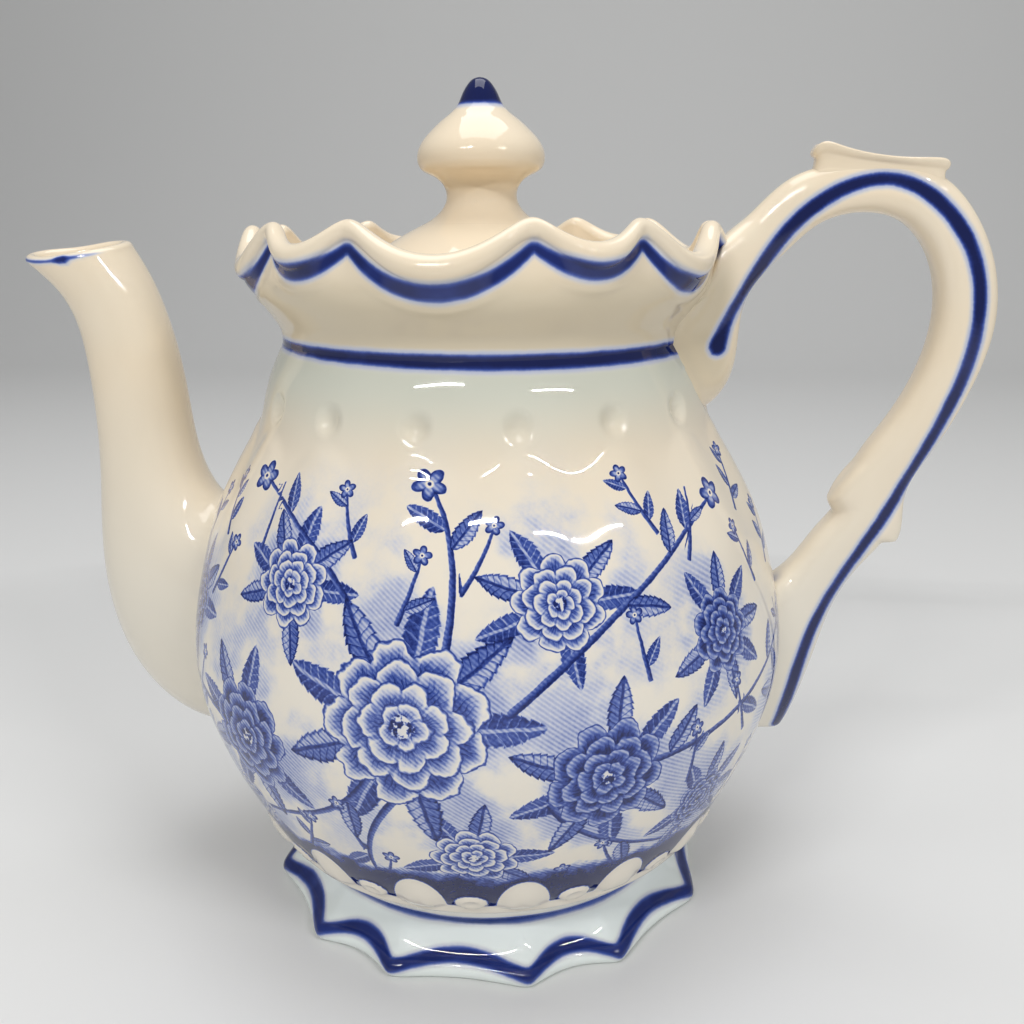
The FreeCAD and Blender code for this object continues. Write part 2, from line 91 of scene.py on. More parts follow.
def sagging(place: Array, rounding: float) -> Array:
    """How far a swag has sunk between its ends.

    The way in from the nearer end is rounded off as a hyperbola, and from there the swag is a parabola.

    Args:
        place: the way along the swag, from -1 at one end to 1 at the other.
        rounding: how blunt its ends are, as a share of half its length.

    Returns:
        0 at the ends and 1 in the middle.
    """
    inward = (np.hypot(1.0 - np.abs(place), rounding) - rounding) / (math.hypot(1.0, rounding) - rounding)
    return 1.0 - (1.0 - inward) ** 2


def between_joints(angle: Array, joints: tuple) -> tuple[Array, Array]:
    """Where an angle lies between joints that are set out alike on either side of the front.

    Args:
        angle: angles from the middle of the front, in radians.
        joints: the joints on one side, in degrees.

    Returns:
        The place from -1 at one joint to 1 at the next, and which gap it is, counted from the front.
    """
    degrees = np.abs(np.degrees(wrapped(angle)))
    edges = np.array((-joints[0], *joints, 360.0 - joints[-1]))
    gap = np.searchsorted(edges, degrees, side="right") - 1
    start, end = edges[gap], edges[gap + 1]
    return (degrees - start) / (end - start) * 2.0 - 1.0, gap


def round_angles(columns: int) -> Array:
    """Even angles once round, starting at the back of the pot."""
    return np.linspace(-np.pi, np.pi, columns, endpoint=False)


def on_pot(angle: Array, radius: Array, height: Array) -> Array:
    """Points at an angle round the pot, a radius and a height."""
    return np.stack(np.broadcast_arrays(radius * np.sin(angle), -radius * np.cos(angle), height), axis=-1)


class Spline:
    """A natural cubic spline through the rows of a table.

    Args:
        rows: the points to pass through, one a row.
        lead: how many leading columns are places; their distances set the spacing along the curve.
    """

    def __init__(self, rows: tuple, lead: int = 2) -> None:
        """Solves for the bends at the rows, which are none at the two ends.

        Args:
            rows: the points to pass through, one a row.
            lead: how many leading columns are places.
        """
        self.knots = np.asarray(rows, float)
        self.steps = np.linalg.norm(np.diff(self.knots[:, :lead], axis=0), axis=1)
        self.starts = np.concatenate(([0.0], np.cumsum(self.steps)))
        count = len(self.knots)
        system = np.eye(count)
        inner = np.arange(1, count - 1)
        system[inner, inner - 1] = self.steps[:-1]
        system[inner, inner] = 2.0 * (self.steps[:-1] + self.steps[1:])
        system[inner, inner + 1] = self.steps[1:]
        right = np.zeros_like(self.knots)
        right[1:-1] = 6.0 * np.diff(np.diff(self.knots, axis=0) / self.steps[:, None], axis=0)
        self.bends = np.linalg.solve(system, right)

    def at(self, share: Array) -> Array:
        """Points at shares of the curve's length.

        Args:
            share: an array of shares from 0 to 1, of any shape.

        Returns:
            An array of that shape with one more axis, for the table's columns.
        """
        along = np.asarray(share) * self.starts[-1]
        span = np.clip(np.searchsorted(self.starts, along, side="right") - 1, 0, len(self.steps) - 1)
        width = self.steps[span][..., None]
        left = along[..., None] - self.starts[span][..., None]
        rest = width - left
        curve = (self.bends[span] * rest**3 + self.bends[span + 1] * left**3) / (6.0 * width)
        start = (self.knots[span] / width - self.bends[span] * width / 6.0) * rest
        end = (self.knots[span + 1] / width - self.bends[span + 1] * width / 6.0) * left
        return curve + start + end


@dataclass
class Surface:
    """A skin on a grid, with columns that run round it and rows that run along it."""

    points: Array
    marks: dict[str, Array] = field(default_factory=dict)
    looped: bool = False

    def capped(self) -> "Surface":
        """Closes the open ends.

        Returns:
            The same skin with a pole at the middle of each end.
        """

        def closed(grid: Array, ends: list[Array]) -> Array:
            """A grid with a row before it and a row after it."""
            rows = [np.broadcast_to(end, grid[:1].shape) for end in ends]
            return np.concatenate((rows[0], grid, rows[1]))

        middles = [self.points[end].mean(axis=0) for end in (0, -1)]
        marks = {name: closed(grid, [grid[0], grid[-1]]) for name, grid in self.marks.items()}
        return Surface(closed(self.points, middles), marks)

    def faces(self) -> tuple[Array, Array]:
        """Corners of the grid's cells.

        Returns:
            The four-cornered cells and, where an end row is a pole, its three-cornered cells.
        """
        rows, columns = self.points.shape[:2]
        index = np.arange(rows * columns).reshape(rows, columns)
        if not self.looped:
            index[0] = index[0, 0]
            index[-1] = index[-1, 0]
        ahead = np.roll(index, -1, axis=1)
        cells = np.stack((index, ahead, np.roll(ahead, -1, axis=0), np.roll(index, -1, axis=0)), axis=-1)
        if self.looped:
            return cells.reshape(-1, 4), np.empty((0, 3), int)
        poles = np.concatenate((cells[0][:, [0, 2, 3]], cells[-2][:, [0, 1, 2]]))
        return cells[1:-2].reshape(-1, 4), poles

    def mesh(self, name: str) -> bpy.types.Mesh:
        """Makes a mesh of the skin.

        Args:
            name: the mesh's name.

        Returns:
            The mesh, in metres, with outward faces, smooth shading and its marks as attributes.
        """
        places = self.points.reshape(-1, 3) * MM
        quads, triangles = self.faces()
        corners = np.concatenate((quads[:, :3], quads[:, [0, 2, 3]], triangles))
        sides = places[corners]
        volume = np.einsum("ij,ij->", sides[:, 0], np.cross(sides[:, 1], sides[:, 2]))
        if volume < 0.0:
            quads, triangles = quads[:, ::-1], triangles[:, ::-1]
        used, compact = np.unique(np.concatenate((quads.ravel(), triangles.ravel())), return_inverse=True)
        quads = compact[: quads.size].reshape(-1, 4)
        triangles = compact[quads.size :].reshape(-1, 3)
        mesh = bpy.data.meshes.new(name)
        mesh.from_pydata(places[used].tolist(), [], quads.tolist() + triangles.tolist())
        mesh.shade_smooth()
        for mark, grid in self.marks.items():
            vector = grid.ndim == 3
            values = grid.reshape(-1, grid.shape[-1]) if vector else grid.ravel()
            layer = mesh.attributes.new(mark, "FLOAT_VECTOR" if vector else "FLOAT", "POINT")
            layer.data.foreach_set("vector" if vector else "value", values[used].astype(np.float32).ravel())
        return mesh


def add_piece(
    name: str, surface: Surface, material: bpy.types.Material, body: Body, slot: Slot, *nodes: str
) -> bpy.types.Object:
    """Adds a skin to the scene as a piece that rides on a body and stands for its nodes.

    Args:
        name: the piece's name.
        surface: its skin.
        material: its finish.
        body: the body that it moves with.
        slot: the record's slot for its finish; it is not used.
        *nodes: the nodes of the frame that it stands for.

    Returns:
        The new object.
    """
    piece = bpy.data.objects.new(name, surface.mesh(name))
    bpy.context.scene.collection.objects.link(piece)
    piece.data.materials.append(material)
    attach(piece, body.value)
    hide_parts(*nodes)
    LOG.info("%s: %d faces", name, len(piece.data.polygons))
    return piece


def pierce(piece: bpy.types.Object, cutters: list[Surface]) -> None:
    """Cuts holes through a piece.

    Args:
        piece: the piece to pierce.
        cutters: closed skins of the space to take away.
    """
    for number, cutter in enumerate(cutters):
        tool = bpy.data.objects.new(f"cutter_{number}", cutter.mesh(f"cutter_{number}"))
        bpy.context.scene.collection.objects.link(tool)
        cut = piece.modifiers.new("cut", "BOOLEAN")
        cut.operation = "DIFFERENCE"
        cut.object = tool
        bpy.context.view_layer.update()
        pierced = bpy.data.meshes.new_from_object(piece.evaluated_get(bpy.context.evaluated_depsgraph_get()))
        piece.modifiers.remove(cut)
        old, piece.data = piece.data, pierced
        name = old.name
        bpy.data.meshes.remove(old)
        pierced.name = name
        bpy.data.meshes.remove(tool.data)


def bar(start: Array, end: Array, radius: float, columns: int = 20) -> Surface:
    """A round bar between two points.

    Args:
        start: the middle of one end.
        end: the middle of the other end.
        radius: the bar's radius.
        columns: points round it.

    Returns:
        Its closed skin: circles square to the line between the ends.
    """
    line = (end - start) / np.linalg.norm(end - start)
    across = np.cross(line, np.roll(line, 1) + np.array([0.1, 0.2, 0.3]))
    across /= np.linalg.norm(across)
    other = np.cross(line, across)
    turn = round_angles(columns)[:, None]
    circle = radius * (np.cos(turn) * across + np.sin(turn) * other)
    return Surface(np.stack((start + circle, end + circle))).capped()


class Number:
    """A number in a node tree. Its operators add Math nodes."""

    def __init__(self, tree: bpy.types.NodeTree, socket: bpy.types.NodeSocket) -> None:
        """Keeps the tree and the socket that gives the number."""
        self.tree = tree
        self.socket = socket

    def math(self, operation: str, *terms: "Number | float") -> "Number":
        """Adds a Math node.

        Args:
            operation: the node's operation.
            *terms: the numbers or constants that follow this number.

        Returns:
            Its result.
        """
        node = self.tree.nodes.new("ShaderNodeMath")
        node.operation = operation
        for slot, term in zip(node.inputs, (self, *terms)):
            if isinstance(term, Number):
                self.tree.links.new(term.socket, slot)
            else:
                slot.default_value = term
        return Number(self.tree, node.outputs[0])

    def __add__(self, other: "Number | float") -> "Number":
        """This number plus another."""
        return self.math("ADD", other)

    def __sub__(self, other: "Number | float") -> "Number":
        """This number less another."""
        return self.math("SUBTRACT", other)

    def __rsub__(self, other: float) -> "Number":
        """A constant less this number."""
        return self.math("MULTIPLY_ADD", -1.0, other)

    def __mul__(self, other: "Number | float") -> "Number":
        """This number times another."""
        return self.math("MULTIPLY", other)

    def __truediv__(self, other: "Number | float") -> "Number":
        """This number divided by another."""
        return self.math("DIVIDE", other)

    def __abs__(self) -> "Number":
        """This number without its sign."""
        return self.math("ABSOLUTE")

    __radd__ = __add__
    __rmul__ = __mul__

    def ease(self, low: float, high: float, start: float = 0.0, end: float = 1.0) -> "Number":
        """Adds a smooth step.

        Args:
            low: where it begins.
            high: where it ends.
            start: its value up to low.
            end: its value from high on.

        Returns:
            The step's value at this number.
        """
        node = self.tree.nodes.new("ShaderNodeMapRange")
        node.interpolation_type = "SMOOTHSTEP"
        for slot, term in zip(node.inputs[1:5], (low, high, start, end)):
            slot.default_value = term
        self.tree.links.new(self.socket, node.inputs[0])
        return Number(self.tree, node.outputs[0])

    def over(self, under: "Number | float", cover: "Number") -> "Number":
        """This number laid over another where the cover is 1."""
        return (self - under) * cover + under


class Weave:
    """A node tree being wired.

    Args:
        tree: the tree of a material or of a node group.
    """

    def __init__(self, tree: bpy.types.NodeTree) -> None:
        """Keeps the tree."""
        self.tree = tree

    def add(self, kind: str, **inputs: object) -> bpy.types.Node:
        """A new node.

        Args:
            kind: its type, without the leading ShaderNode.
            **inputs: values or sources for its inputs, by name with underscores for spaces.

        Returns:
            The node.
        """
        return self.feed(self.tree.nodes.new("ShaderNode" + kind), inputs)

    def feed(self, node: bpy.types.Node, inputs: dict[str, object]) -> bpy.types.Node:
        """Fills a node's inputs.

        Args:
            node: the node.
            inputs: values or sources by input name, with underscores for spaces.

        Returns:
            The node.
        """
        for name, source in inputs.items():
            slot = node.inputs[name.replace("_", " ")]
            source = source.socket if isinstance(source, Number) else source
            if isinstance(source, bpy.types.NodeSocket):
                self.tree.links.new(source, slot)
            else:
                slot.default_value = source
        return node

    def number(self, socket: bpy.types.NodeSocket) -> Number:
        """A socket as a number."""
        return Number(self.tree, socket)

    def mark(self, name: str) -> bpy.types.Node:
        """Reads one of the surface's marks.

        Args:
            name: the mark.

        Returns:
            The node that gives it.
        """
        node = self.add("Attribute")
        node.attribute_name = name
        return node

    def axes(self, vector: bpy.types.NodeSocket) -> list[Number]:
        """The three numbers of a vector."""
        node = self.add("SeparateXYZ", Vector=vector)
        return [self.number(output) for output in node.outputs]

    def place(self) -> bpy.types.NodeSocket:
        """The point on the object, in metres."""
        return self.add("TexCoord").outputs["Object"]

    def noise(self, size: float, detail: float = 2.0) -> Number:
        """Smooth noise about a half, with features of this size in millimetres."""
        node = self.add("TexNoise", Vector=self.place(), Scale=1.0 / (size * MM), Detail=detail)
        return self.number(node.outputs["Fac"])

    def group(self, built: bpy.types.NodeTree, **inputs: object) -> bpy.types.Node:
        """Runs a node group.

        Args:
            built: the group.
            **inputs: values or sources for its inputs, by name.

        Returns:
            The node that runs it.
        """
        node = self.add("Group")
        node.node_tree = built
        return self.feed(node, inputs)

    def blend(
        self, share: Number, first: bpy.types.NodeSocket, second: bpy.types.NodeSocket
    ) -> bpy.types.NodeSocket:
        """Blends two colours.

        Args:
            share: how much of the second is in the blend.
            first: the colour at 0.
            second: the colour at 1.

        Returns:
            The blend.
        """
        node = self.add("Mix")
        node.data_type = "RGBA"
        for slot, socket in ((0, share.socket), (6, first), (7, second)):
            self.tree.links.new(socket, node.inputs[slot])
        return node.outputs[2]


def new_group(
    name: str, inputs: dict[str, str], outputs: dict[str, str]
) -> tuple[Weave, dict, bpy.types.Node]:
    """An empty shader node group.

    Args:
        name: the group's name.
        inputs: its input names, each with a socket type.
        outputs: its output names, each with a socket type.

    Returns:
        The weave to fill, its input sockets by name, and its output node.
    """
    tree = bpy.data.node_groups.new(name, "ShaderNodeTree")
    for way, sockets in (("INPUT", inputs), ("OUTPUT", outputs)):
        for label, kind in sockets.items():
            tree.interface.new_socket(label, in_out=way, socket_type="NodeSocket" + kind)
    source = tree.nodes.new("NodeGroupInput")
    target = tree.nodes.new("NodeGroupOutput")
    return Weave(tree), dict(source.outputs.items()), target


@dataclass(frozen=True)
class Cobalt:
    """Cobalt blue under the glaze: how its colour deepens with the ink, and how its edges bleed."""

    shades: tuple = (
        (0.0, (0.78, 0.76, 0.70)),
        (0.16, (0.55, 0.58, 0.70)),
        (0.42, (0.14, 0.20, 0.49)),
        (0.62, (0.042, 0.08, 0.34)),
        (0.82, (0.013, 0.028, 0.17)),
        (1.0, (0.006, 0.012, 0.08)),
    )
    bleed: float = 1.7
    halo: float = 0.19

    def colour_group(self) -> bpy.types.NodeTree:
        """Builds the group that turns ink into a colour.

        Returns:
            The group. Its ink runs from 0 for bare glaze to 1 for full cobalt.
        """
        inputs = {"Ink": "Float", "Glaze": "Color"}
        weave, source, target = new_group("cobalt_colour", inputs, {"Color": "Color"})
        ramp = weave.add("ValToRGB", Fac=source["Ink"])
        stops = ramp.color_ramp.elements
        while len(stops) < len(self.shades):
            stops.new(1.0)
        for stop, (ink, colour) in zip(stops, self.shades):
            stop.position = ink
            stop.color = (*colour, 1.0)
        cover = weave.number(source["Ink"]).ease(0.0, 0.2)
        colour = weave.blend(cover, source["Glaze"], ramp.outputs["Color"])
        weave.tree.links.new(colour, target.inputs["Color"])
        return weave.tree

    def band_group(self) -> bpy.types.NodeTree:
        """Builds the group that turns the depth inside a painted band, in millimetres, into ink.

        Returns:
            The group. The ink is deepest in the middle of a band, and its edges waver and bleed.
        """
        inputs = {"Depth": "Float", "Tone": "Float"}
        weave, source, target = new_group("cobalt_band", inputs, {"Ink": "Float"})
        waver = (weave.noise(5.0) - 0.5) * 0.4 + (weave.noise(0.9) - 0.5) * 0.15
        depth = weave.number(source["Depth"]) + waver
        pooled = depth.ease(-0.2, 1.4, 0.58, 1.0) * (weave.noise(9.0) * 0.5 + 0.8)
        tone = weave.number(source["Tone"])
        body = depth.ease(-0.65, 0.65) * pooled * tone
        halo = depth.ease(-self.bleed, 0.0) * self.halo * tone
        weave.tree.links.new(body.math("MAXIMUM", halo).socket, target.inputs["Ink"])
        return weave.tree


@dataclass(frozen=True)
class Glaze:
    """A glossy clear glaze over porcelain, with cobalt where the surface is marked for it.

    Each pair of bounds of the pool and shade runs from where there is none of it to where it is full. The
    pooled colour round the neck and under the collar's flare is partly glaze that pools there and partly
    painted shade under the collar's overhang.
    """

    name: str
    colour: tuple[float, float, float]
    warm: tuple[float, float, float]
    # The low colour is painted light: a cooler tint towards the foot for the cooler light that the lower
    # parts get.
    low: tuple[float, float, float]
    # The pooled colour and the bounds below: partly glaze that pools round the neck, partly painted shade
    # under the collar's flare.
    pooled: tuple[float, float, float] = (0.61, 0.65, 0.57)
    pool_and_shade: float = 0.8
    pool_and_shade_low: tuple = (130.0, 149.0)
    pool_and_shade_high: tuple = (175.0, 165.0)
    pool_and_shade_inner: tuple = (47.5, 50.0)
    pool_and_shade_outer: tuple = (66.0, 60.5)
    cool_light_heights: tuple = (150.0, 70.0)
    ripple: float = 0.09
    ripple_strength: float = 0.35
    coat_roughness: float = 0.025

    def surface_group(self) -> bpy.types.NodeTree:
        """A group for the glaze's unevenness.

        Returns:
            The group. It gives a colour that drifts slowly, turns cooler towards the foot as painted light
            for the cooler light that the lower parts get, and deepens round the neck and under the collar's
            flare, partly as glaze that pools there and partly as painted shade; a gloss that varies, and the
            height of its ripples.
        """
        built = bpy.data.node_groups.get("glaze_surface")
        if built:
            return built
        weave, source, target = new_group(
            "glaze_surface",
            {"Color": "Color", "Warm": "Color", "Low": "Color", "Pooled": "Color"},
            {"Color": "Color", "Roughness": "Float", "Height": "Float"},
        )
        across, forward, height = (axis / MM for axis in weave.axes(weave.place()))
        reach = (across * across + forward * forward).math("SQRT")
        # Painted shade, partly real pooling: the colour darkens round the neck and under the collar's flare.
        pool_and_shade = height.ease(*self.pool_and_shade_low) * height.ease(*self.pool_and_shade_high) * self.pool_and_shade
        pool_and_shade = pool_and_shade * reach.ease(*self.pool_and_shade_outer) * reach.ease(*self.pool_and_shade_inner)
        colour = weave.blend(weave.noise(38.0).ease(0.35, 0.65), source["Color"], source["Warm"])
        # Painted light: cooler towards the bottom, for the cooler light that the lower parts get.
        colour = weave.blend(height.ease(*self.cool_light_heights), colour, source["Low"])
        outputs = {
            "Color": weave.blend(pool_and_shade, colour, source["Pooled"]),
            "Roughness": weave.noise(7.0, 4.0).ease(0.3, 0.75, 0.11, 0.2).socket,
            "Height": (weave.noise(11.0) + weave.noise(2.6) * 0.12).socket,
        }
        for name, socket in outputs.items():
            weave.tree.links.new(socket, target.inputs[name])
        return weave.tree

    def material(self, ink: Callable[[Weave], Number]) -> bpy.types.Material:
        """The glaze as a material.

        Args:
            ink: a function that is given the weave and returns the amount of cobalt as a number.

        Returns:
            The material.
        """
        material = bpy.data.materials.new(self.name)
        material.use_nodes = True
        weave = Weave(material.node_tree)
        shader = material.node_tree.nodes["Principled BSDF"]
        glaze = weave.group(
            self.surface_group(),
            Color=(*self.colour, 1.0),
            Warm=(*self.warm, 1.0),
            Low=(*self.low, 1.0),
            Pooled=(*self.pooled, 1.0),
        )
        colour = weave.group(
            bpy.data.node_groups["cobalt_colour"], Ink=ink(weave), Glaze=glaze.outputs["Color"]
        )
        bump = weave.add(
            "Bump", Height=glaze.outputs["Height"], Strength=self.ripple_strength, Distance=self.ripple * MM
        )
        link = material.node_tree.links.new
        link(colour.outputs["Color"], shader.inputs["Base Color"])
        link(glaze.outputs["Roughness"], shader.inputs["Roughness"])
        link(bump.outputs["Normal"], shader.inputs["Normal"])
        shader.inputs["Specular IOR Level"].default_value = 0.0
        shader.inputs["Coat Weight"].default_value = 1.0
        shader.inputs["Coat Roughness"].default_value = self.coat_roughness
        shader.inputs["Coat IOR"].default_value = 1.5
        return material


def banded_ink(weave: Weave) -> Number:
    """The ink of a piece with painted bands.

    Args:
        weave: the weave of its material.

    Returns:
        The ink. The piece's marks give the depth inside a band and the band's tone.
    """
    band = weave.group(
        bpy.data.node_groups["cobalt_band"],
        Depth=weave.mark("band").outputs["Fac"],
        Tone=weave.mark("tone").outputs["Fac"],
    )
    return weave.number(band.outputs["Ink"])


@dataclass
class Brush:
    """The painting of the belly as ink: each kind of motif is laid over the ink beneath it.

    A motif's mark holds its own coordinates, from -1 to 1 along and across it, and how far inside its reach
    a point lies.
    """

    weave: Weave
    ink: Number

    def motif(self, layer: str, shake: float) -> tuple[Number, Number, Number]:
        """A motif's coordinates, with an unsteady hand.

        Args:
            layer: the name of its mark.
            shake: how far the hand strays, as a share of the motif.

        Returns:
            The place along and across it, and 1 inside its reach.
        """
        along, across, reach = self.weave.axes(self.weave.mark(layer).outputs["Vector"])
        along = along + (self.weave.noise(4.3) - 0.5) * shake
        across = across + (self.weave.noise(5.1) - 0.5) * shake
        return along, across, reach.ease(0.0, 0.3)

    def polar(self, along: Number, across: Number) -> tuple[Number, Number]:
        """The distance from a motif's middle, and the turn round it as a share of once round."""
        far = (along * along + across * across).math("SQRT")
        return far, across.math("ARCTAN2", along) / (2.0 * math.pi)

    def wash(self) -> None:
        """A pale cloudy wash behind the flowers."""
        wash = self.weave.number(self.weave.mark("wash").outputs["Fac"])
        clouds = self.weave.noise(15.0, 3.0).ease(0.36, 0.64)
        self.ink = wash * (clouds * 0.3 + 0.06)

    def stem(self) -> None:
        """Stems: dark on their lower side, and thinner towards their tips."""
        side, half, reach = self.weave.axes(self.weave.mark("stem").outputs["Vector"])
        inside = half - abs(side + (self.weave.noise(3.0) - 0.5) * 0.5)
        tone = side.ease(-0.7, 0.7, 0.9, 0.5)
        self.ink = tone.over(self.ink, inside.ease(-0.15, 0.15) * reach.ease(0.0, 0.3))

    def leaf(self, layer: str, fill: float, shade: float, rib: float, edge: float) -> None:
        """Leaves with toothed edges, a rib and slanting veins.

        Args:
            layer: the name of their mark.
            fill: the ink all over a leaf.
            shade: the ink added to one half.
            rib: the ink added along the rib.
            edge: the ink added along the outline.
        """
        along, across, within = self.motif(layer, 0.3)
        wide = abs(across)
        shape = (1.0 - along * along).math("MAXIMUM", 0.0).math("POWER", 0.7) * (1.0 - along * 0.28)
        teeth = (along * 4.5 + 0.3).math("FRACT") * 0.14
        inside = shape * (1.0 - teeth) - wide
        veins = (along * 4.0 - wide * 1.1).math("FRACT").ease(0.7, 0.92) * wide.ease(0.05, 0.2)
        tone = across.ease(-0.4, 0.4) * shade + wide.ease(0.17, 0.05) * rib + inside.ease(0.3, 0.05) * edge
        tone = tone + veins * rib * 0.6 + fill
        self.ink = tone.over(self.ink, inside.ease(0.0, 0.14) * within)

    def floret(self) -> None:
        """Small flowers with five petals round a pale heart with a dark eye."""
        along, across, within = self.motif("floret", 0.26)
        far, turn = self.polar(along, across)
        edge = abs((turn * (5.0 * math.pi)).math("COSINE")) * 0.4 + 0.6 - far
        tone = edge.ease(0.0, 0.5, 0.86, 0.34) * far.ease(0.16, 0.3) + far.ease(0.14, 0.06) * 0.9
        self.ink = tone.over(self.ink, edge.ease(-0.02, 0.06) * within)

    def bloom(self, layer: str, fill: float) -> None:
        """Full blooms: rings of petals, each pale at its edge, outlined, streaked and dark at its base.

        Args:
            layer: the name of their mark.
            fill: the ink at the petals' edges.
        """
        along, across, within = self.motif(layer, 0.24)
        far, turn = self.polar(along, across)
        rings = ((9, 1.0, 0.24, 0.0), (8, 0.78, 0.24, 0.35), (7, 0.55, 0.24, 0.1), (5, 0.32, 0.2, 0.6))
        for petals, radius, gap, offset in rings:
            part = abs((turn * petals + offset).math("FRACT") - 0.5) * 2.0
            edge = (1.0 - part.math("POWER", 2.4) * 0.2) * radius - far
            depth = edge / gap
            streak = (turn * (petals * 7.0)).math("FRACT").ease(0.5, 0.9) * depth.ease(0.2, 1.1) * 0.2
            tone = depth.ease(0.1, 1.15, fill, fill + 0.58) + part.ease(0.78, 1.0) * 0.32 + streak
            tone = tone.math("MAXIMUM", edge.ease(0.05, 0.0, 0.0, 0.8))
            self.ink = tone.over(self.ink, edge.ease(-0.012, 0.012) * within)
        heart = self.weave.noise(1.3).ease(0.45, 0.6, 0.95, 0.1)
        self.ink = heart.over(self.ink, far.ease(0.17, 0.12) * within)

    def ground(self) -> None:
        """The dark ground round the petals at the foot of the wall. It fades upwards, and they stay bare."""
        depth = self.weave.number(self.weave.mark("ground").outputs["Fac"])
        _, _, height = self.weave.axes(self.weave.place())
        ragged = height / MM + (self.weave.noise(5.0, 3.0) - 0.5) * 9.0
        tone = ragged.ease(41.0, 34.0) * (self.weave.noise(3.0) * 0.4 + 0.85)
        outline = abs(depth - 0.7).ease(1.0, 0.5) * 0.9
        self.ink = self.ink.math("MAXIMUM", tone.math("MAXIMUM", outline)) * depth.ease(-0.3, 0.3)

    def printed(self) -> Number:
        """The ink with the fine lines and grain of a print.

        Returns:
            The finished ink.
        """
        across, _, height = self.weave.axes(self.weave.place())
        lines = ((across * 0.8 + height) * (2.0 * math.pi / (1.15 * MM))).math("SINE")
        middle = self.ink.ease(0.08, 0.3) * self.ink.ease(0.8, 0.5)
        grain = self.weave.noise(0.8, 3.0) * 0.7 + 0.65
        return (self.ink + lines * middle * 0.09) * grain


def painted_ink(weave: Weave) -> Number:
    """The ink of the belly.

    Args:
        weave: the weave of its material.

    Returns:
        The ink of the flowers, laid from the wash upwards, and of the band round the neck.
    """
    brush = Brush(weave, weave.number(weave.mark("wash").outputs["Fac"]))
    brush.wash()
    brush.leaf("leaf_back", 0.62, 0.14, -0.4, 0.12)
    brush.stem()
    brush.leaf("leaf", 0.26, 0.26, 0.4, 0.5)
    brush.floret()
    brush.bloom("bloom_back", 0.3)
    brush.bloom("bloom", 0.06)
    brush.ground()
    return brush.printed().math("MAXIMUM", banded_ink(weave))


@dataclass
class Finishes:
    """The finishes that the pieces share."""

    cobalt: Cobalt = Cobalt()
    # The cream glaze's last colour is its pooled colour, darker and browner: partly glaze that pools, partly
    # painted shade under the collar's flare.
    cream: Glaze = Glaze(
        "cream_glaze", (0.89, 0.775, 0.6), (0.89, 0.755, 0.565), (0.83, 0.775, 0.66), (0.64, 0.555, 0.40)
    )
    # The foot's cool white is set paler as painted light, standing in for the light from above that the
    # belly's shadow keeps off the foot.
    cool: Glaze = Glaze("cool_glaze", (0.86, 0.93, 0.91), (0.89, 0.92, 0.86), (0.88, 0.94, 0.91))
    # The fourth colour of each glaze is its low colour, painted light: a cooler tint towards the foot for the
    # cooler light that the lower parts get.
    belly: Glaze = Glaze("painted_glaze", (0.88, 0.78, 0.625), (0.88, 0.76, 0.585), (0.85, 0.79, 0.68))

    def __post_init__(self) -> None:
        """Makes the shared groups and the materials."""
        self.cobalt.colour_group()
        self.cobalt.band_group()
        self.plain = self.cream.material(banded_ink)
        self.pale = self.cool.material(banded_ink)
        self.painted = self.belly.material(painted_ink)


BELLY_WALL = (
    (52.2, 13.9), (56.6, 18.4), (60.2, 22.6), (63.3, 27.0), (68.1, 36.0), (72.4, 45.0), (75.8, 54.0),
    (78.4, 63.0), (79.5, 72.0), (79.0, 81.0), (77.4, 90.0), (75.0, 99.0), (71.8, 108.0), (67.2, 117.0),
    (62.0, 126.0), (59.5, 130.5), (58.1, 135.0), (57.0, 139.5), (55.5, 144.5), (53.55, 149.0), (51.6, 153.0),
)
COLLAR_WALL = (
    (51.6, 153.0), (52.0, 156.6), (53.5, 159.3), (55.4, 162.0), (57.2, 164.7), (58.5, 167.4), (59.4, 170.1),
    (60.0, 172.8), (60.4, 175.5), (60.8, 180.9),
)

BAND_HEIGHT = 152.95
BAND_LEAN = 0.7
BAND_HALF = 1.2
BAND_SWELL = 0.5
BAND_SIDE_SWELL = 0.28


def pot_radius(height: Array) -> Array:
    """The outline of the pot, on the belly and on the collar.

    Args:
        height: heights above the table.

    Returns:
        The radius of the pot's outside at each height.
    """
    walls = [Spline(wall).at(np.linspace(0.0, 1.0, 240)) for wall in (BELLY_WALL, COLLAR_WALL)]
    radius, rise = np.concatenate((walls[0], walls[1][1:])).T
    return np.interp(height, rise, radius)


def neck_band(angle: Array, height: Array) -> Array:
    """The cobalt band round the neck, which is widest at the front and leans a little.

    Args:
        angle: angles round the pot.
        height: heights above the table.

    Returns:
        The depth inside the band, in millimetres.
    """
    middle = BAND_HEIGHT - BAND_LEAN * np.sin(angle)
    half = BAND_HALF + BAND_SWELL * np.cos(angle) + BAND_SIDE_SWELL * np.sin(angle)
    return half - np.abs(height - middle)


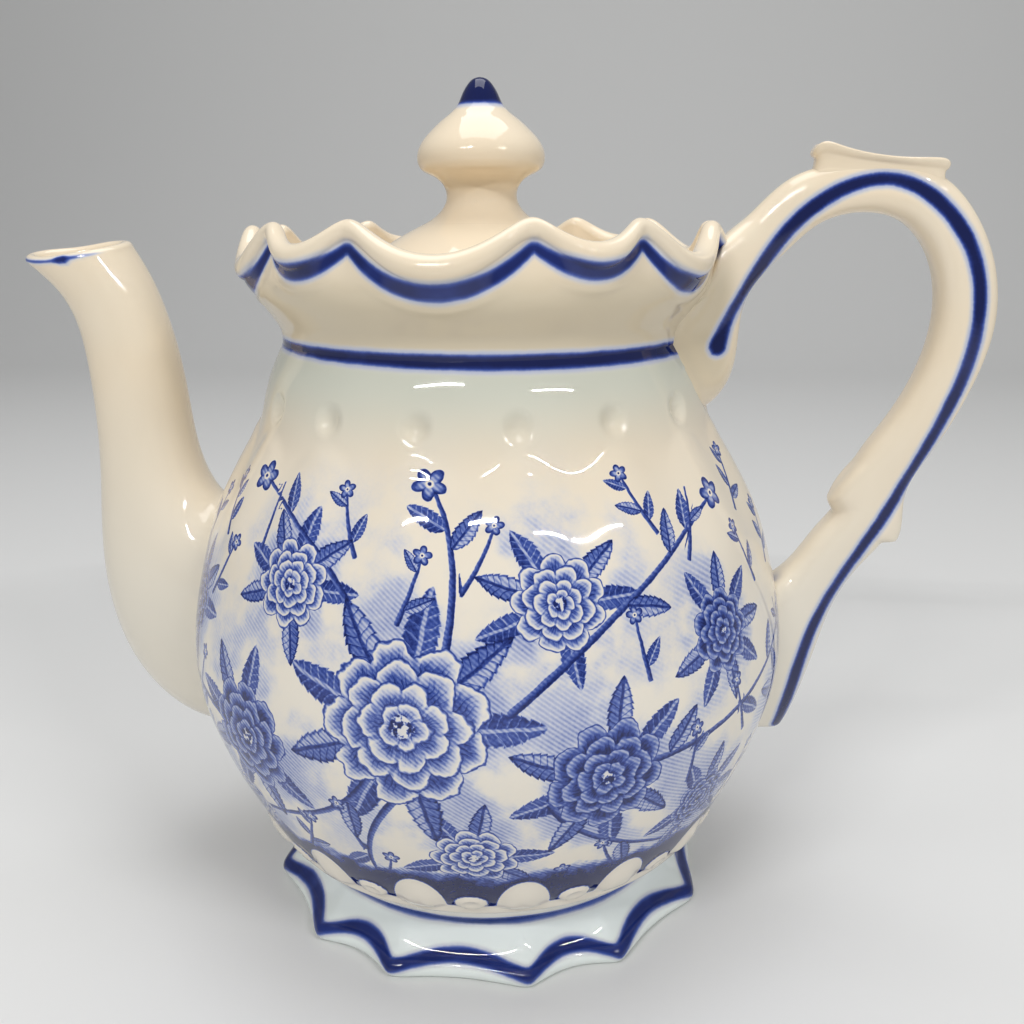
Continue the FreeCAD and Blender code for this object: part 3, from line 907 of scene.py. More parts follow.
@dataclass
class Canvas:
    """The belly's wall as a sheet to paint on.

    Args:
        wall: radii and heights up the wall.
        turns: angles round it.
        margin: how far a motif's mark reaches, as a share of the motif.
        gap: the room kept between motifs of a layer.
        stem_reach: how far a stem's mark reaches from its middle.
        thinning: the share of its thickness that a stem loses towards its tip.
    """

    wall: Array
    turns: Array
    margin: float = 1.22
    gap: float = 1.3
    stem_reach: float = 1.7
    thinning: float = 0.6

    def __post_init__(self) -> None:
        """Spreads the angle, the radius and the way up the wall over its grid."""
        steps = np.linalg.norm(np.diff(self.wall, axis=0), axis=1)
        self.rises = np.concatenate(([0.0], np.cumsum(steps)))
        shape = len(self.wall), len(self.turns)
        self.angle = np.broadcast_to(self.turns, shape)
        self.radius = np.broadcast_to(self.wall[:, :1], shape)
        self.rise = np.broadcast_to(self.rises[:, None], shape)
        self.layers: dict[str, Array] = {"wash": np.zeros(shape)}

    def place(self, degrees: float, height: float) -> Array:
        """A place on the wall, as its angle in radians and its way up the wall."""
        return np.array([math.radians(degrees), np.interp(height, self.wall[:, 1], self.rises)])

    def moved(self, place: Array, side: float, up: float) -> Array:
        """The place that lies this far to the side and up the wall from another."""
        return place + (side / np.interp(place[1], self.rises, self.wall[:, 0]), up)

    def near(self, place: Array, reach: float) -> tuple[Array, ...]:
        """The grid's points within reach of a place, as indices."""
        side = wrapped(self.angle - place[0]) * self.radius
        return np.nonzero(np.hypot(side, self.rise - place[1]) < reach)

    def offset(self, points: tuple[Array, ...], places: Array) -> tuple[Array, Array]:
        """Millimetres round the wall and up it to some of the grid's points.

        Args:
            points: indices of the points.
            places: one or more places to measure from.

        Returns:
            The two distances, with a row for each point and a column for each place.
        """
        places = np.atleast_2d(places)
        side = wrapped(self.angle[points][:, None] - places[:, 0]) * self.radius[points][:, None]
        return side, self.rise[points][:, None] - places[:, 1]

    def lay(self, layer: str, points: tuple[Array, ...], marks: list[Array]) -> None:
        """Writes a motif's marks where it reaches further than the motifs that are there.

        Args:
            layer: the layer to write in.
            points: indices of the grid's points.
            marks: at each point, the motif's two coordinates and its reach.
        """
        held = self.layers.setdefault(layer, np.full((*self.angle.shape, 3), UNPAINTED))
        new, old = np.stack(marks, axis=-1), held[points]
        held[points] = np.where(new[:, 2:] > old[:, 2:], new, old)

    def motif(self, layer: str, place: Array, turn: float, length: float, width: float) -> bool:
        """Lays a flower or a leaf, if nothing in its layer is in the way.

        Args:
            layer: the layer to write in.
            place: its middle.
            turn: the way that it points, in radians from the way round the pot.
            length: half its length.
            width: half its width.

        Returns:
            Whether there was room for it.
        """
        points = self.near(place, 1.4 * max(length, width) + 1.5)
        side, up = (values[:, 0] for values in self.offset(points, place))
        along = (side * math.cos(turn) + up * math.sin(turn)) / length
        across = (up * math.cos(turn) - side * math.sin(turn)) / width
        reach = (self.margin - np.hypot(along, across)) * min(length, width)
        held = self.layers.get(layer)
        free = held is None or (np.minimum(reach, held[points][:, 2]) < -self.gap).all()
        if free:
            self.lay(layer, points, [along, across, reach])
        return free

    def stroke(self, path: Array, thick: float) -> Array:
        """Lays a stem that thins towards its end.

        Args:
            path: places along it.
            thick: half its thickness at its start.

        Returns:
            The way that it points at each place, in radians.
        """
        radius = np.interp(path[:, 1], self.rises, self.wall[:, 0])
        heading = np.arctan2(np.gradient(path[:, 1]), np.gradient(path[:, 0]) * radius)
        span = np.hypot(np.ptp(path[:, 0]) * radius.max(), np.ptp(path[:, 1]))
        points = self.near(path[len(path) // 2], span + 3.0)
        side, up = self.offset(points, path)
        far = np.hypot(side, up)
        nearest = far.argmin(axis=1)
        pick = np.arange(len(nearest)), nearest
        off = (up * np.cos(heading) - side * np.sin(heading))[pick]
        half = thick * (1.0 - self.thinning * nearest / len(path))
        self.lay("stem", points, [off, half, self.stem_reach - far[pick]])
        return heading


@dataclass
class Bouquet:
    """The painting of the belly: a bunch of blooms on leafy stems, front and back, with loose sprigs between.

    Places are in degrees from the middle of the bunch and millimetres above the table.
    """

    blooms: tuple = (
        (-5.0, 80.0, 19.0), (27.0, 66.0, 14.0), (-37.0, 68.0, 14.0), (20.0, 105.0, 10.5),
        (-28.0, 106.0, 10.0), (52.0, 92.0, 10.0), (-62.0, 92.0, 9.5), (5.0, 45.5, 10.0),
        (50.0, 49.0, 9.0), (-46.0, 44.0, 9.0), (76.0, 66.0, 9.0), (-84.0, 62.0, 8.0),
    )
    stems: tuple = (
        (-8.0, 86.0, -14.0, 114.0, -46.0, 125.0), (0.0, 88.0, 6.0, 116.0, -3.0, 128.0),
        (12.0, 84.0, 36.0, 110.0, 60.0, 120.0), (28.0, 68.0, 52.0, 66.0, 80.0, 86.0),
        (-36.0, 68.0, -58.0, 70.0, -80.0, 82.0), (18.0, 60.0, 26.0, 42.0, 62.0, 34.0),
        (-11.0, 68.0, -20.0, 46.0, -60.0, 42.0), (-6.0, 64.0, -18.0, 46.0, -14.0, 32.0),
    )
    dark: tuple = (1, 2, 5, 6, 8)
    bloom_leaves: int = 9
    stem_thick: float = 0.95
    stem_leaf: float = 6.4
    leaf_width: float = 0.46
    leaf_lean: float = 0.8
    leaf_step: float = 1.05
    floret: float = 0.62
    sprigs: int = 120
    sprig_tries: int = 700
    sprig_thick: float = 0.6
    sprig_leaf: float = 3.6
    sprig_room: float = 7.0
    sprig_heights: tuple = (33.0, 123.0)
    mean_radius: float = 74.0
    seed: int = 11

    def leaf(self, canvas: Canvas, place: Array, way: float, length: float, behind: bool) -> None:
        """Paints a leaf in the layer in front or behind, or in the other where that has no room.

        Args:
            canvas: the sheet to paint on.
            place: the leaf's middle.
            way: the way that it points, in radians.
            length: half its length.
            behind: whether it goes behind the stems.
        """
        layers = ("leaf_back", "leaf") if behind else ("leaf", "leaf_back")
        shape = place, way, length, self.leaf_width * length
        if not canvas.motif(layers[0], *shape):
            canvas.motif(layers[1], *shape)

    def spray(self, canvas: Canvas, ends: Array, thick: float, leaf: float) -> None:
        """Paints a stem with leaves on both sides and a floret at its tip.

        Args:
            canvas: the sheet to paint on.
            ends: the stem's start, the point that bends it, and its end.
            thick: half its thickness at its start.
            leaf: half the length of a leaf.
        """
        share = np.linspace(0.0, 1.0, 40)[:, None]
        path = ends[0] * (1.0 - share) ** 2 + ends[1] * 2.0 * share * (1.0 - share) + ends[2] * share**2
        heading = canvas.stroke(path, thick)
        radius = np.interp(path[:, 1], canvas.rises, canvas.wall[:, 0])
        length = np.hypot(np.diff(path[:, 0]) * radius[1:], np.diff(path[:, 1])).sum()
        count = max(3, round(length / (self.leaf_step * leaf)))
        for number in range(count):
            index = round((0.12 + 0.8 * number / count) * (len(path) - 1))
            way = heading[index] + (self.leaf_lean if number % 2 else -self.leaf_lean)
            size = leaf * mix(1.0, 0.72, number / count)
            reach = self.leaf_step * size
            place = canvas.moved(path[index], reach * math.cos(way), reach * math.sin(way))
            self.leaf(canvas, place, way, size, number // 2 % 2 == 0)
        canvas.motif("floret", path[-1], heading[-1], self.floret * leaf, self.floret * leaf)

    def bunch(self, canvas: Canvas, middle: float, way: float) -> list[Array]:
        """Paints one bunch.

        Args:
            canvas: the sheet to paint on.
            middle: the angle of its middle, in degrees.
            way: 1, or -1 for a bunch turned the other way round.

        Returns:
            Its blooms as places, each with its radius.
        """
        blooms = []
        for number, (degrees, height, radius) in enumerate(self.blooms):
            place = canvas.place(middle + way * degrees, height)
            layer = "bloom_back" if number in self.dark else "bloom"
            canvas.motif(layer, place, 0.9 * number, radius, radius)
            turns = np.linspace(0.0, 2.0 * np.pi, self.bloom_leaves, endpoint=False)
            for index, turn in enumerate(turns + 0.7 * number):
                reach = radius * 1.02 + 2.0
                spot = canvas.moved(place, reach * math.cos(turn), reach * math.sin(turn))
                self.leaf(canvas, spot, turn, 0.34 * radius + 2.6, index % 2 == 0)
            points = canvas.near(place, 4.0 * radius)
            far = np.hypot(*canvas.offset(points, place))[:, 0]
            canvas.layers["wash"][points] = np.maximum(canvas.layers["wash"][points], bell(far, 2.1 * radius))
            blooms.append(np.append(place, radius))
        for stem in self.stems:
            ends = [canvas.place(middle + way * stem[index], stem[index + 1]) for index in (0, 2, 4)]
            self.spray(canvas, np.array(ends), self.stem_thick, self.stem_leaf)
        return blooms

    def paint(self, canvas: Canvas) -> dict[str, Array]:
        """Paints both bunches, and sprigs wherever there is room.

        Args:
            canvas: the sheet to paint on.

        Returns:
            The layers of marks, by name.
        """
        taken = np.array(self.bunch(canvas, 0.0, 1.0) + self.bunch(canvas, 180.0, -1.0))
        chance = np.random.default_rng(self.seed)
        low, high = (canvas.place(0.0, height)[1] for height in self.sprig_heights)
        tries = chance.uniform((-180.0, 0.0, -0.6), (180.0, 1.0, 0.6), (self.sprig_tries, 3))
        for degrees, share, lean in tries:
            place = np.array([math.radians(degrees), mix(low, high, share)])
            side = wrapped(taken[:, 0] - place[0]) * self.mean_radius
            gaps = np.hypot(side, taken[:, 1] - place[1]) - taken[:, 2]
            if len(taken) < self.sprigs and gaps.min() > self.sprig_room:
                bends = ((-6.0 * lean, -7.0), (3.0 * lean, 0.0), (7.0 * lean, 6.5))
                ends = [canvas.moved(place, side, up) for side, up in bends]
                self.spray(canvas, np.array(ends), self.sprig_thick, self.sprig_leaf)
                taken = np.vstack((taken, np.append(place, self.sprig_room)))
        return canvas.layers


@dataclass
class Foot:
    """The flared foot ring with concave scallops between its points, and a rolled edge."""

    columns: int = 480
    height: float = 13.9
    waist: float = 52.2
    tuck: float = 1.6
    flare: float = 1.7
    points: tuple = (16.6, 40.0, 71.6, 108.4, 140.0, 163.4)
    front_middle: float = -0.4
    point_radius: float = 61.8
    scallop: float = 3.8
    roll: float = 2.4
    bore: float = 46.2
    sole: float = 5.0
    point_rounding: float = 0.1
    tip_rounding: float = 0.04
    tip_reach: float = 2.0
    band_sink: float = 2.9
    band_half: float = 2.3
    band_tone: float = 0.8
    # A cobalt line at the top of the skirt: painted shade in the groove under the belly.
    line: float = 2.2
    line_tone: float = 0.6

    def scallop_place(self, angle: Array) -> Array:
        """The place in a scallop, from -1 at one of its points to 1 at the other."""
        return between_joints(angle - math.radians(self.front_middle), self.points)[0]

    def edge(self, angle: Array) -> Array:
        """The edge's radius: it sags inwards between the points."""
        return self.point_radius - self.scallop * sagging(self.scallop_place(angle), self.point_rounding)

    def surface(self) -> Surface:
        """The ring's skin.

        Returns:
            A hollow skirt, a half-round rolled edge, a flat underside and a conical bore, with a painted
            band that sinks between the points, and a cobalt line under the belly that is painted shade in the
            groove there.
        """
        angle = round_angles(self.columns)[None, :]
        edge = self.edge(angle) - self.roll
        share = np.linspace(0.0, 1.0, 34)[:, None]
        skirt_r = mix(self.waist - self.tuck, edge, share)
        skirt_z = mix(2.0 * self.roll, self.height, (1.0 - share) ** self.flare)
        turn = np.linspace(0.5, -0.5, 14)[1:, None] * np.pi
        roll_r = edge + self.roll * np.cos(turn)
        roll_z = self.roll + self.roll * np.sin(turn)
        under = np.linspace(0.0, 1.0, 6)[1:, None]
        under_r = mix(edge, self.bore + self.sole, under)
        bore_r = mix(self.bore + self.sole, self.bore, under)
        ones = np.ones_like(angle)
        radius = np.concatenate((skirt_r, roll_r, under_r, bore_r * ones))
        height = np.concatenate((skirt_z * ones, roll_z * ones, 0.0 * under_r, under * self.height * ones))
        steps = np.hypot(np.diff(radius, axis=0), np.diff(height, axis=0))
        along = np.concatenate((0.0 * ones, np.cumsum(steps, axis=0)))
        rim = along[len(share) - 1]
        sink = self.band_sink * sagging(self.scallop_place(angle), self.tip_rounding)
        middle = rim + self.tip_reach - sink
        band = self.band_half - np.abs(along - middle)
        outside = np.arange(len(radius))[:, None] < len(share) + len(turn)
        # The line at the top of the skirt is painted shade in the groove under the belly.
        marks = {
            "band": np.where(outside, np.maximum(band, self.line - along), UNPAINTED),
            "tone": np.where(along < rim / 2.0, self.line_tone, self.band_tone) * ones,
        }
        return Surface(on_pot(angle, radius, height), marks, looped=True)

    def build(self, finishes: Finishes) -> None:
        """Adds the foot."""
        add_piece("foot_ring", self.surface(), finishes.pale, Body.POT, Slot.WHITE, "foot")


@dataclass
class Belly:
    """The round vessel, with dimples round its shoulder and half-round petals round its base."""

    columns: int = 440
    wall_rows: int = 180
    wall: float = 4.5
    floor: float = 5.0
    dimples: int = 16
    dimple_height: float = 139.5
    dimple_offset: float = -7.0
    dimple_reach: float = 4.3
    dimple_core: float = 0.4
    dimple_depth: float = 1.9
    lobe_top: float = 133.8
    lobe_arch: float = 0.05
    lobe_full: float = 120.0
    lobe_end: float = 94.0
    lobe_swell: float = 1.0
    petals: int = 16
    petal_offset: float = -7.7
    petal_half: float = 6.4
    petal_base: float = 26.0
    petal_rise: float = 9.4
    petal_swell: float = 1.1
    button_height: float = 27.2
    button_half: float = 4.0
    button_rise: float = 2.8
    button_swell: float = 0.4
    bead: float = 0.7
    bead_height: float = 22.8
    bead_width: float = 1.2
    # A cobalt line at the foot of the wall: painted shade in the groove where the wall meets the foot.
    groove_shade_height: float = 16.6
    line_tone: float = 0.6
    under: tuple = (0.0, 25.0, 49.8)
    strainer_height: float = 70.0
    strainer_ring: float = 10.0
    strainer_hole: float = 5.0
    strainer_holes: int = 6
    strainer_reach: tuple = (-90.0, -62.0)

    def across(self, angle: Array, count: int, offset: float, radius: Array) -> Array:
        """Millimetres round the wall from the nearest of evenly spaced places."""
        return wrapped((angle - math.radians(offset)) * count) / count * radius

    def shoulder(self, angle: Array, radius: Array, height: Array) -> Array:
        """How far the dimples and the round-topped lobes under them stand out of the wall.

        Args:
            angle: angles of the grid.
            radius: its radii.
            height: its heights.

        Returns:
            The relief in millimetres. A lobe swells as a cosine across, under an arch, and fades downwards.
        """
        side = self.across(angle, self.dimples, self.dimple_offset, radius)
        far = np.hypot(side, height - self.dimple_height)
        dimple = -self.dimple_depth * ease(self.dimple_reach, self.dimple_core, far)
        below = self.lobe_top - self.lobe_arch * side**2 - height
        swell = 0.5 + 0.5 * np.cos(self.dimples * side / radius)
        lobe = self.lobe_swell * swell * ease(-1.6, 3.6, below) * ease(self.lobe_end, self.lobe_full, height)
        return dimple + lobe

    def base(self, angle: Array, radius: Array, height: Array) -> tuple[Array, Array]:
        """The row of half-round petals at the foot of the wall, with ringed buttons between, over a bead.

        Args:
            angle: angles of the grid.
            radius: its radii.
            height: its heights.

        Returns:
            The relief, and how far outside the petals and buttons a point lies, both in millimetres.
        """
        side = self.across(angle, self.petals, self.petal_offset, radius)
        upward = np.maximum(height - self.petal_base, 0.0) / self.petal_rise
        petal = 1.0 - np.hypot(side / self.petal_half, upward)
        raised = self.petal_swell * ease(0.0, 0.75, petal) * ease(self.bead_height, self.petal_base, height)
        middle = self.petal_offset + 180.0 / self.petals
        side = self.across(angle, self.petals, middle, radius)
        button = 1.0 - np.hypot(side / self.button_half, (height - self.button_height) / self.button_rise)
        ring = bell(button - 0.35, 0.2)
        raised = raised + self.button_swell * ring + self.button_swell * ease(0.0, 0.3, button)
        bead = self.bead * bell(height - self.bead_height, self.bead_width)
        outside = np.minimum(-petal * self.petal_half, -button * 3.0)
        return np.maximum(raised, bead), np.minimum(outside, height - self.petal_base + 0.6)

    def surface(self) -> Surface:
        """The vessel's skin.

        Returns:
            Underside, wall with its relief, top of the neck, inside and floor, from pole to pole. The wall's
            rows lie closer together near its two ends. The neck runs a little way up inside the collar.
        """
        angle = round_angles(self.columns)[None, :]
        even = np.linspace(0.0, 1.0, self.wall_rows)
        wall = Spline(BELLY_WALL).at(even - 0.35 * np.sin(2.0 * np.pi * even) / (2.0 * np.pi))
        slope = np.gradient(wall, axis=0)
        slope /= np.linalg.norm(slope, axis=1)[:, None]
        radius, height = wall[:, :1], wall[:, 1:]
        raised, ground = self.base(angle, radius, height)
        raised = raised + self.shoulder(angle, radius, height)
        out_r = radius + raised * slope[:, 1:]
        out_z = height - raised * slope[:, :1]
        inner = wall[:: -(self.wall_rows // 22)]
        inner_r = inner[:, :1] - self.wall
        floor_top = wall[0, 1] + self.floor
        inner_z = np.maximum(inner[:, 1:], floor_top)
        inner_r = np.concatenate((wall[-1:, :1] - 0.3, inner_r))
        inner_z = np.concatenate((wall[-1:, 1:] + 0.7, inner_z))
        under = np.array(self.under)[:, None]
        ones = np.ones_like(angle)
        radii = np.concatenate((under * ones, out_r, inner_r * ones, under[::-1] * ones))
        low = np.full(under.shape, wall[0, 1])
        heights = np.concatenate((low * ones, out_z, inner_z * ones, low * ones + self.floor))
        painting = Bouquet().paint(Canvas(wall, angle[0]))
        # The cobalt line low on the wall is painted shade in the groove where it meets the foot.
        painting["band"] = np.maximum(neck_band(angle, height), self.groove_shade_height - height)
        painting["tone"] = np.where(out_z < self.bead_height, self.line_tone, 1.0)
        painting["ground"] = ground
        marks = {}
        for name, values in painting.items():
            marks[name] = np.full((len(radii), *values.shape[1:]), UNPAINTED)
            marks[name][len(under) : len(under) + self.wall_rows] = values
        marks["wash"] = np.maximum(marks["wash"], 0.0)
        return Surface(on_pot(angle, radii, heights), marks)

    def strainer(self) -> list[Surface]:
        """The strainer's holes, through the wall behind the spout.

        Returns:
            Bars in the place of the holes: one in the middle, and a ring of them round it.
        """
        turns = np.arange(self.strainer_holes) * 2.0 * np.pi / self.strainer_holes
        sides = np.concatenate(([0.0], self.strainer_ring * np.cos(turns)))
        heights = self.strainer_height + np.concatenate(([0.0], self.strainer_ring * np.sin(turns)))
        start, end = self.strainer_reach
        return [
            bar(np.array([start, side, height]), np.array([end, side, height]), self.strainer_hole / 2.0)
            for side, height in zip(sides, heights)
        ]

    def build(self, finishes: Finishes) -> None:
        """Adds the belly and pierces its strainer."""
        piece = add_piece("belly_wall", self.surface(), finishes.painted, Body.POT, Slot.PAINTED, "belly")
        pierce(piece, self.strainer())


@dataclass
class Collar:
    """The crown collar: a smooth flare that breaks into lobes under a rolled lip, which dips in each lobe."""

    columns: int = 600
    neck_height: float = 153.0
    bore: float = 47.1
    joint_height: float = 182.8
    side_height: float = 181.3
    dip: float = 4.8
    deep_dip: float = 7.1
    lip_radius: float = 62.0
    pinch: float = 4.4
    side_pinch: float = 1.2
    lip: float = 2.9
    deep_lip: float = 3.15
    joint_lip: float = 2.2
    lip_rounding: float = 0.22
    pinch_rounding: float = 0.12
    lobe_start: float = 164.0
    joints: tuple = (20.5, 46.5, 80.0, 100.0, 133.5, 159.5)
    front_middle: float = -1.35
    swag_height: float = 176.6
    swag_drop: float = 4.8
    deep_swag_drop: float = 8.8
    swag_start: float = 158.0
    swag_rounding: float = 0.03
    swag_half: float = 2.05
    swag_tip_half: float = 1.35
    swag_tone: float = 0.86
    ridge: float = 0.35
    ridge_drop: float = 4.2
    ridge_width: float = 0.9

    def lobe_share(self, angle: Array) -> tuple[Array, Array]:
        """Where an angle lies in its lobe. The joints are degrees from the front's middle, on either side.

        Args:
            angle: angles round the pot.

        Returns:
            The place from -1 at the lobe's first joint to 1 at its last, and whether the lobe is a deep one.
            Deep and shallow lobes take turns.
        """
        place, lobe = between_joints(angle - math.radians(self.front_middle), self.joints)
        return place, lobe % 2 == 0

    def surface(self) -> Surface:
        """The collar's skin.

        Returns:
            A flaring wall that bends over to the lip as it nears it, a round lip that follows the lobes, and
            an inner wall, with a painted swag in each lobe and the band round the neck.
        """
        angle = round_angles(self.columns)[None, :]
        place, deep = self.lobe_share(angle)
        sag = sagging(place, self.lip_rounding)
        lip = mix(self.joint_lip, np.where(deep, self.deep_lip, self.lip), sag)
        facing = np.abs(np.cos(angle))
        joint_z = mix(self.side_height, self.joint_height, facing)
        core_z = joint_z - np.where(deep, self.deep_dip, self.dip) * sag - lip
        pinch = mix(self.side_pinch, self.pinch, facing)
        core_r = self.lip_radius - pinch * (1.0 - sagging(place, self.pinch_rounding)) - lip
        turn = np.radians(np.linspace(-70.0, 192.0, 24))[:, None]
        lip_r, lip_z = core_r + lip * np.cos(turn), core_z + lip * np.sin(turn)
        drop = np.where(deep, self.deep_swag_drop, self.swag_drop)
        swag = self.swag_height - drop * sagging(place, self.swag_rounding)
        wall_z = mix(self.neck_height, lip_z[:1], np.linspace(0.0, 1.0, 48)[:-1, None])
        wall_z = np.concatenate((np.full(angle.shape, self.neck_height - 0.8), wall_z))
        bend = (lip_r[:1] - pot_radius(lip_z[:1])) * ease(self.lobe_start, lip_z[:1], wall_z)
        ridge = self.ridge * sag * bell(wall_z - swag + self.ridge_drop, self.ridge_width)
        wall_r = pot_radius(np.maximum(wall_z, self.neck_height)) + bend + ridge
        down = np.linspace(1.0, 0.0, 24)[1:, None]
        inner_z = mix(self.neck_height, lip_z[-1:], down)
        inner_r = mix(self.bore, lip_r[-1:], 1.0 - (1.0 - down) ** 1.5)
        slope = np.gradient(swag[0]) * self.columns / (2.0 * np.pi * self.lip_radius)
        outer_z = np.concatenate((wall_z, np.where(turn < 0.6, lip_z, np.inf)))
        half = mix(self.swag_tip_half, self.swag_half, sag) * np.hypot(1.0, slope)
        band = half - np.abs(outer_z - swag)
        band = np.maximum(np.maximum(band, neck_band(angle, outer_z)), UNPAINTED)
        tone = np.where(outer_z > self.swag_start, self.swag_tone, 1.0)
        marks = {
            "band": np.concatenate((band, np.full(inner_r.shape, UNPAINTED))),
            "tone": np.concatenate((tone, np.ones(inner_r.shape))),
        }
        radius = np.concatenate((wall_r, lip_r, inner_r))
        return Surface(on_pot(angle, radius, np.concatenate((wall_z, lip_z, inner_z))), marks, looped=True)

    def build(self, finishes: Finishes) -> None:
        """Adds the collar."""
        add_piece("collar_crown", self.surface(), finishes.plain, Body.POT, Slot.WHITE, "collar")


@dataclass
class Tube:
    """A skin of ovals along a path in the plane of the pot's axis.

    The path's rows give x, z, half depth, half width and tilt in degrees. An oval's point is the centre plus
    the half depth along the tilt times the cosine of its turn, plus the half width across it times the sine.
    """

    path: Spline
    taper: float
    fullness: float = 0.03
    columns: int = 48

    def at(self, share: Array, inset: float = 0.0) -> Array:
        """Points of the skin.

        Args:
            share: shares of the path, in an array with a column for each column of the skin.
            inset: how far the skin is drawn in.

        Returns:
            The points.
        """
        turn = round_angles(self.columns)
        row = self.path.at(share)
        tilt = np.radians(row[..., 4])
        full = 1.0 + self.fullness * np.sin(2.0 * turn) ** 2
        depth = (row[..., 2] - inset) * np.cos(turn) * full
        width = (row[..., 3] - inset) * np.sin(turn) * full * (1.0 - self.taper * np.cos(turn))
        x, z = row[..., 0] + depth * np.cos(tilt), row[..., 1] + depth * np.sin(tilt)
        return np.stack((x, width, z), axis=-1)

    def roots(self, depth: float, middle: float, inset: float = 0.0) -> tuple[Array, Array]:
        """Where each column enters the pot's wall.

        Args:
            depth: how far inside the pot's outside the column ends.
            middle: a share of the path that lies outside the pot.
            inset: how far the skin is drawn in.

        Returns:
            The first and last share of the path outside that depth, for each column.
        """
        shares = np.linspace(0.0, 1.0, 500)
        points = self.at(np.broadcast_to(shares[:, None], (500, self.columns)), inset)
        within = pot_radius(points[..., 2]) - np.hypot(points[..., 0], points[..., 1]) > depth
        before = np.where(within & (shares < middle)[:, None], shares[:, None], 0.0)
        after = np.where(within & (shares > middle)[:, None], shares[:, None], 1.0)
        return before.max(axis=0), after.min(axis=0)


@dataclass
class Spout:
    """The hollow spout, which swells from its stem to its root and opens in a pointed lip."""

    rows: int = 150
    wall: float = 3.2
    root_inside: float = 2.2
    stations: tuple = (
        (-68.25, 73.6, 35.0, 19.5, 270.0),
        (-82.7, 75.7, 33.2, 18.9, 257.0),
        (-90.2, 82.9, 29.6, 17.0, 244.0),
        (-94.4, 93.0, 24.6, 15.1, 231.0),
        (-96.2, 117.6, 15.0, 11.5, 203.0),
        (-97.3, 145.4, 12.4, 10.3, 182.0),
        (-103.4, 166.5, 12.4, 10.5, 184.0),
        (-109.7, 174.6, 14.1, 11.1, 185.0),
    )
    lean: float = 0.12
    rim_sink: float = 0.6
    outer_share: float = 0.6
    line_half: float = 0.75
    line_tone: float = 0.6
    smudge_half: float = 1.1
    smudge_turn: float = -1.65
    smudge_width: float = 0.14

    def surface(self) -> Surface:
        """The spout's skin.

        Returns:
            The outside from root to mouth, a round lip with a painted line, and the bore back to the root.
            The mouth leans towards the front, and its rim sinks a little on either side.
        """
        tube = Tube(Spline(self.stations), taper=0.16)
        share = np.linspace(0.0, 1.0, self.rows)[:, None]
        first, _ = tube.roots(self.root_inside, self.outer_share)
        outside = tube.at(mix(first, 1.0, share))
        first, _ = tube.roots(self.root_inside, self.outer_share, self.wall)
        inside = tube.at(mix(first, 1.0, share[::-1]), self.wall)
        away = np.abs(round_angles(tube.columns))
        wave = -self.rim_sink * bell(away - 1.25, 0.55)
        for skin, way in ((outside, share), (inside, share[::-1])):
            skin[..., 2] += (self.lean * skin[..., 1] + wave) * ease(0.75, 1.0, way)
        turn = np.linspace(0.0, np.pi, 11)[1:-1, None, None]
        lip = mix(outside[-1], inside[0], 0.5 - 0.5 * np.cos(turn))
        lip = lip + np.sin(turn) * np.array([-0.3, 0.0, 1.5])
        points = np.concatenate((outside, lip, inside))
        row = np.arange(len(points))[:, None]
        smudge = bell(round_angles(tube.columns) - self.smudge_turn, self.smudge_width)
        line = self.line_half + self.smudge_half * smudge - np.abs(row - self.rows) * 0.8
        band = np.where(row > self.rows - 6, line, UNPAINTED)
        tone = np.broadcast_to((self.line_tone + 0.35 * smudge) * ease(2.7, 1.7, away), band.shape)
        return Surface(points, {"band": band, "tone": tone}, looped=True)

    def build(self, finishes: Finishes) -> None:
        """Adds the spout."""
        add_piece("spout_shell", self.surface(), finishes.plain, Body.POT, Slot.WHITE, "spout")


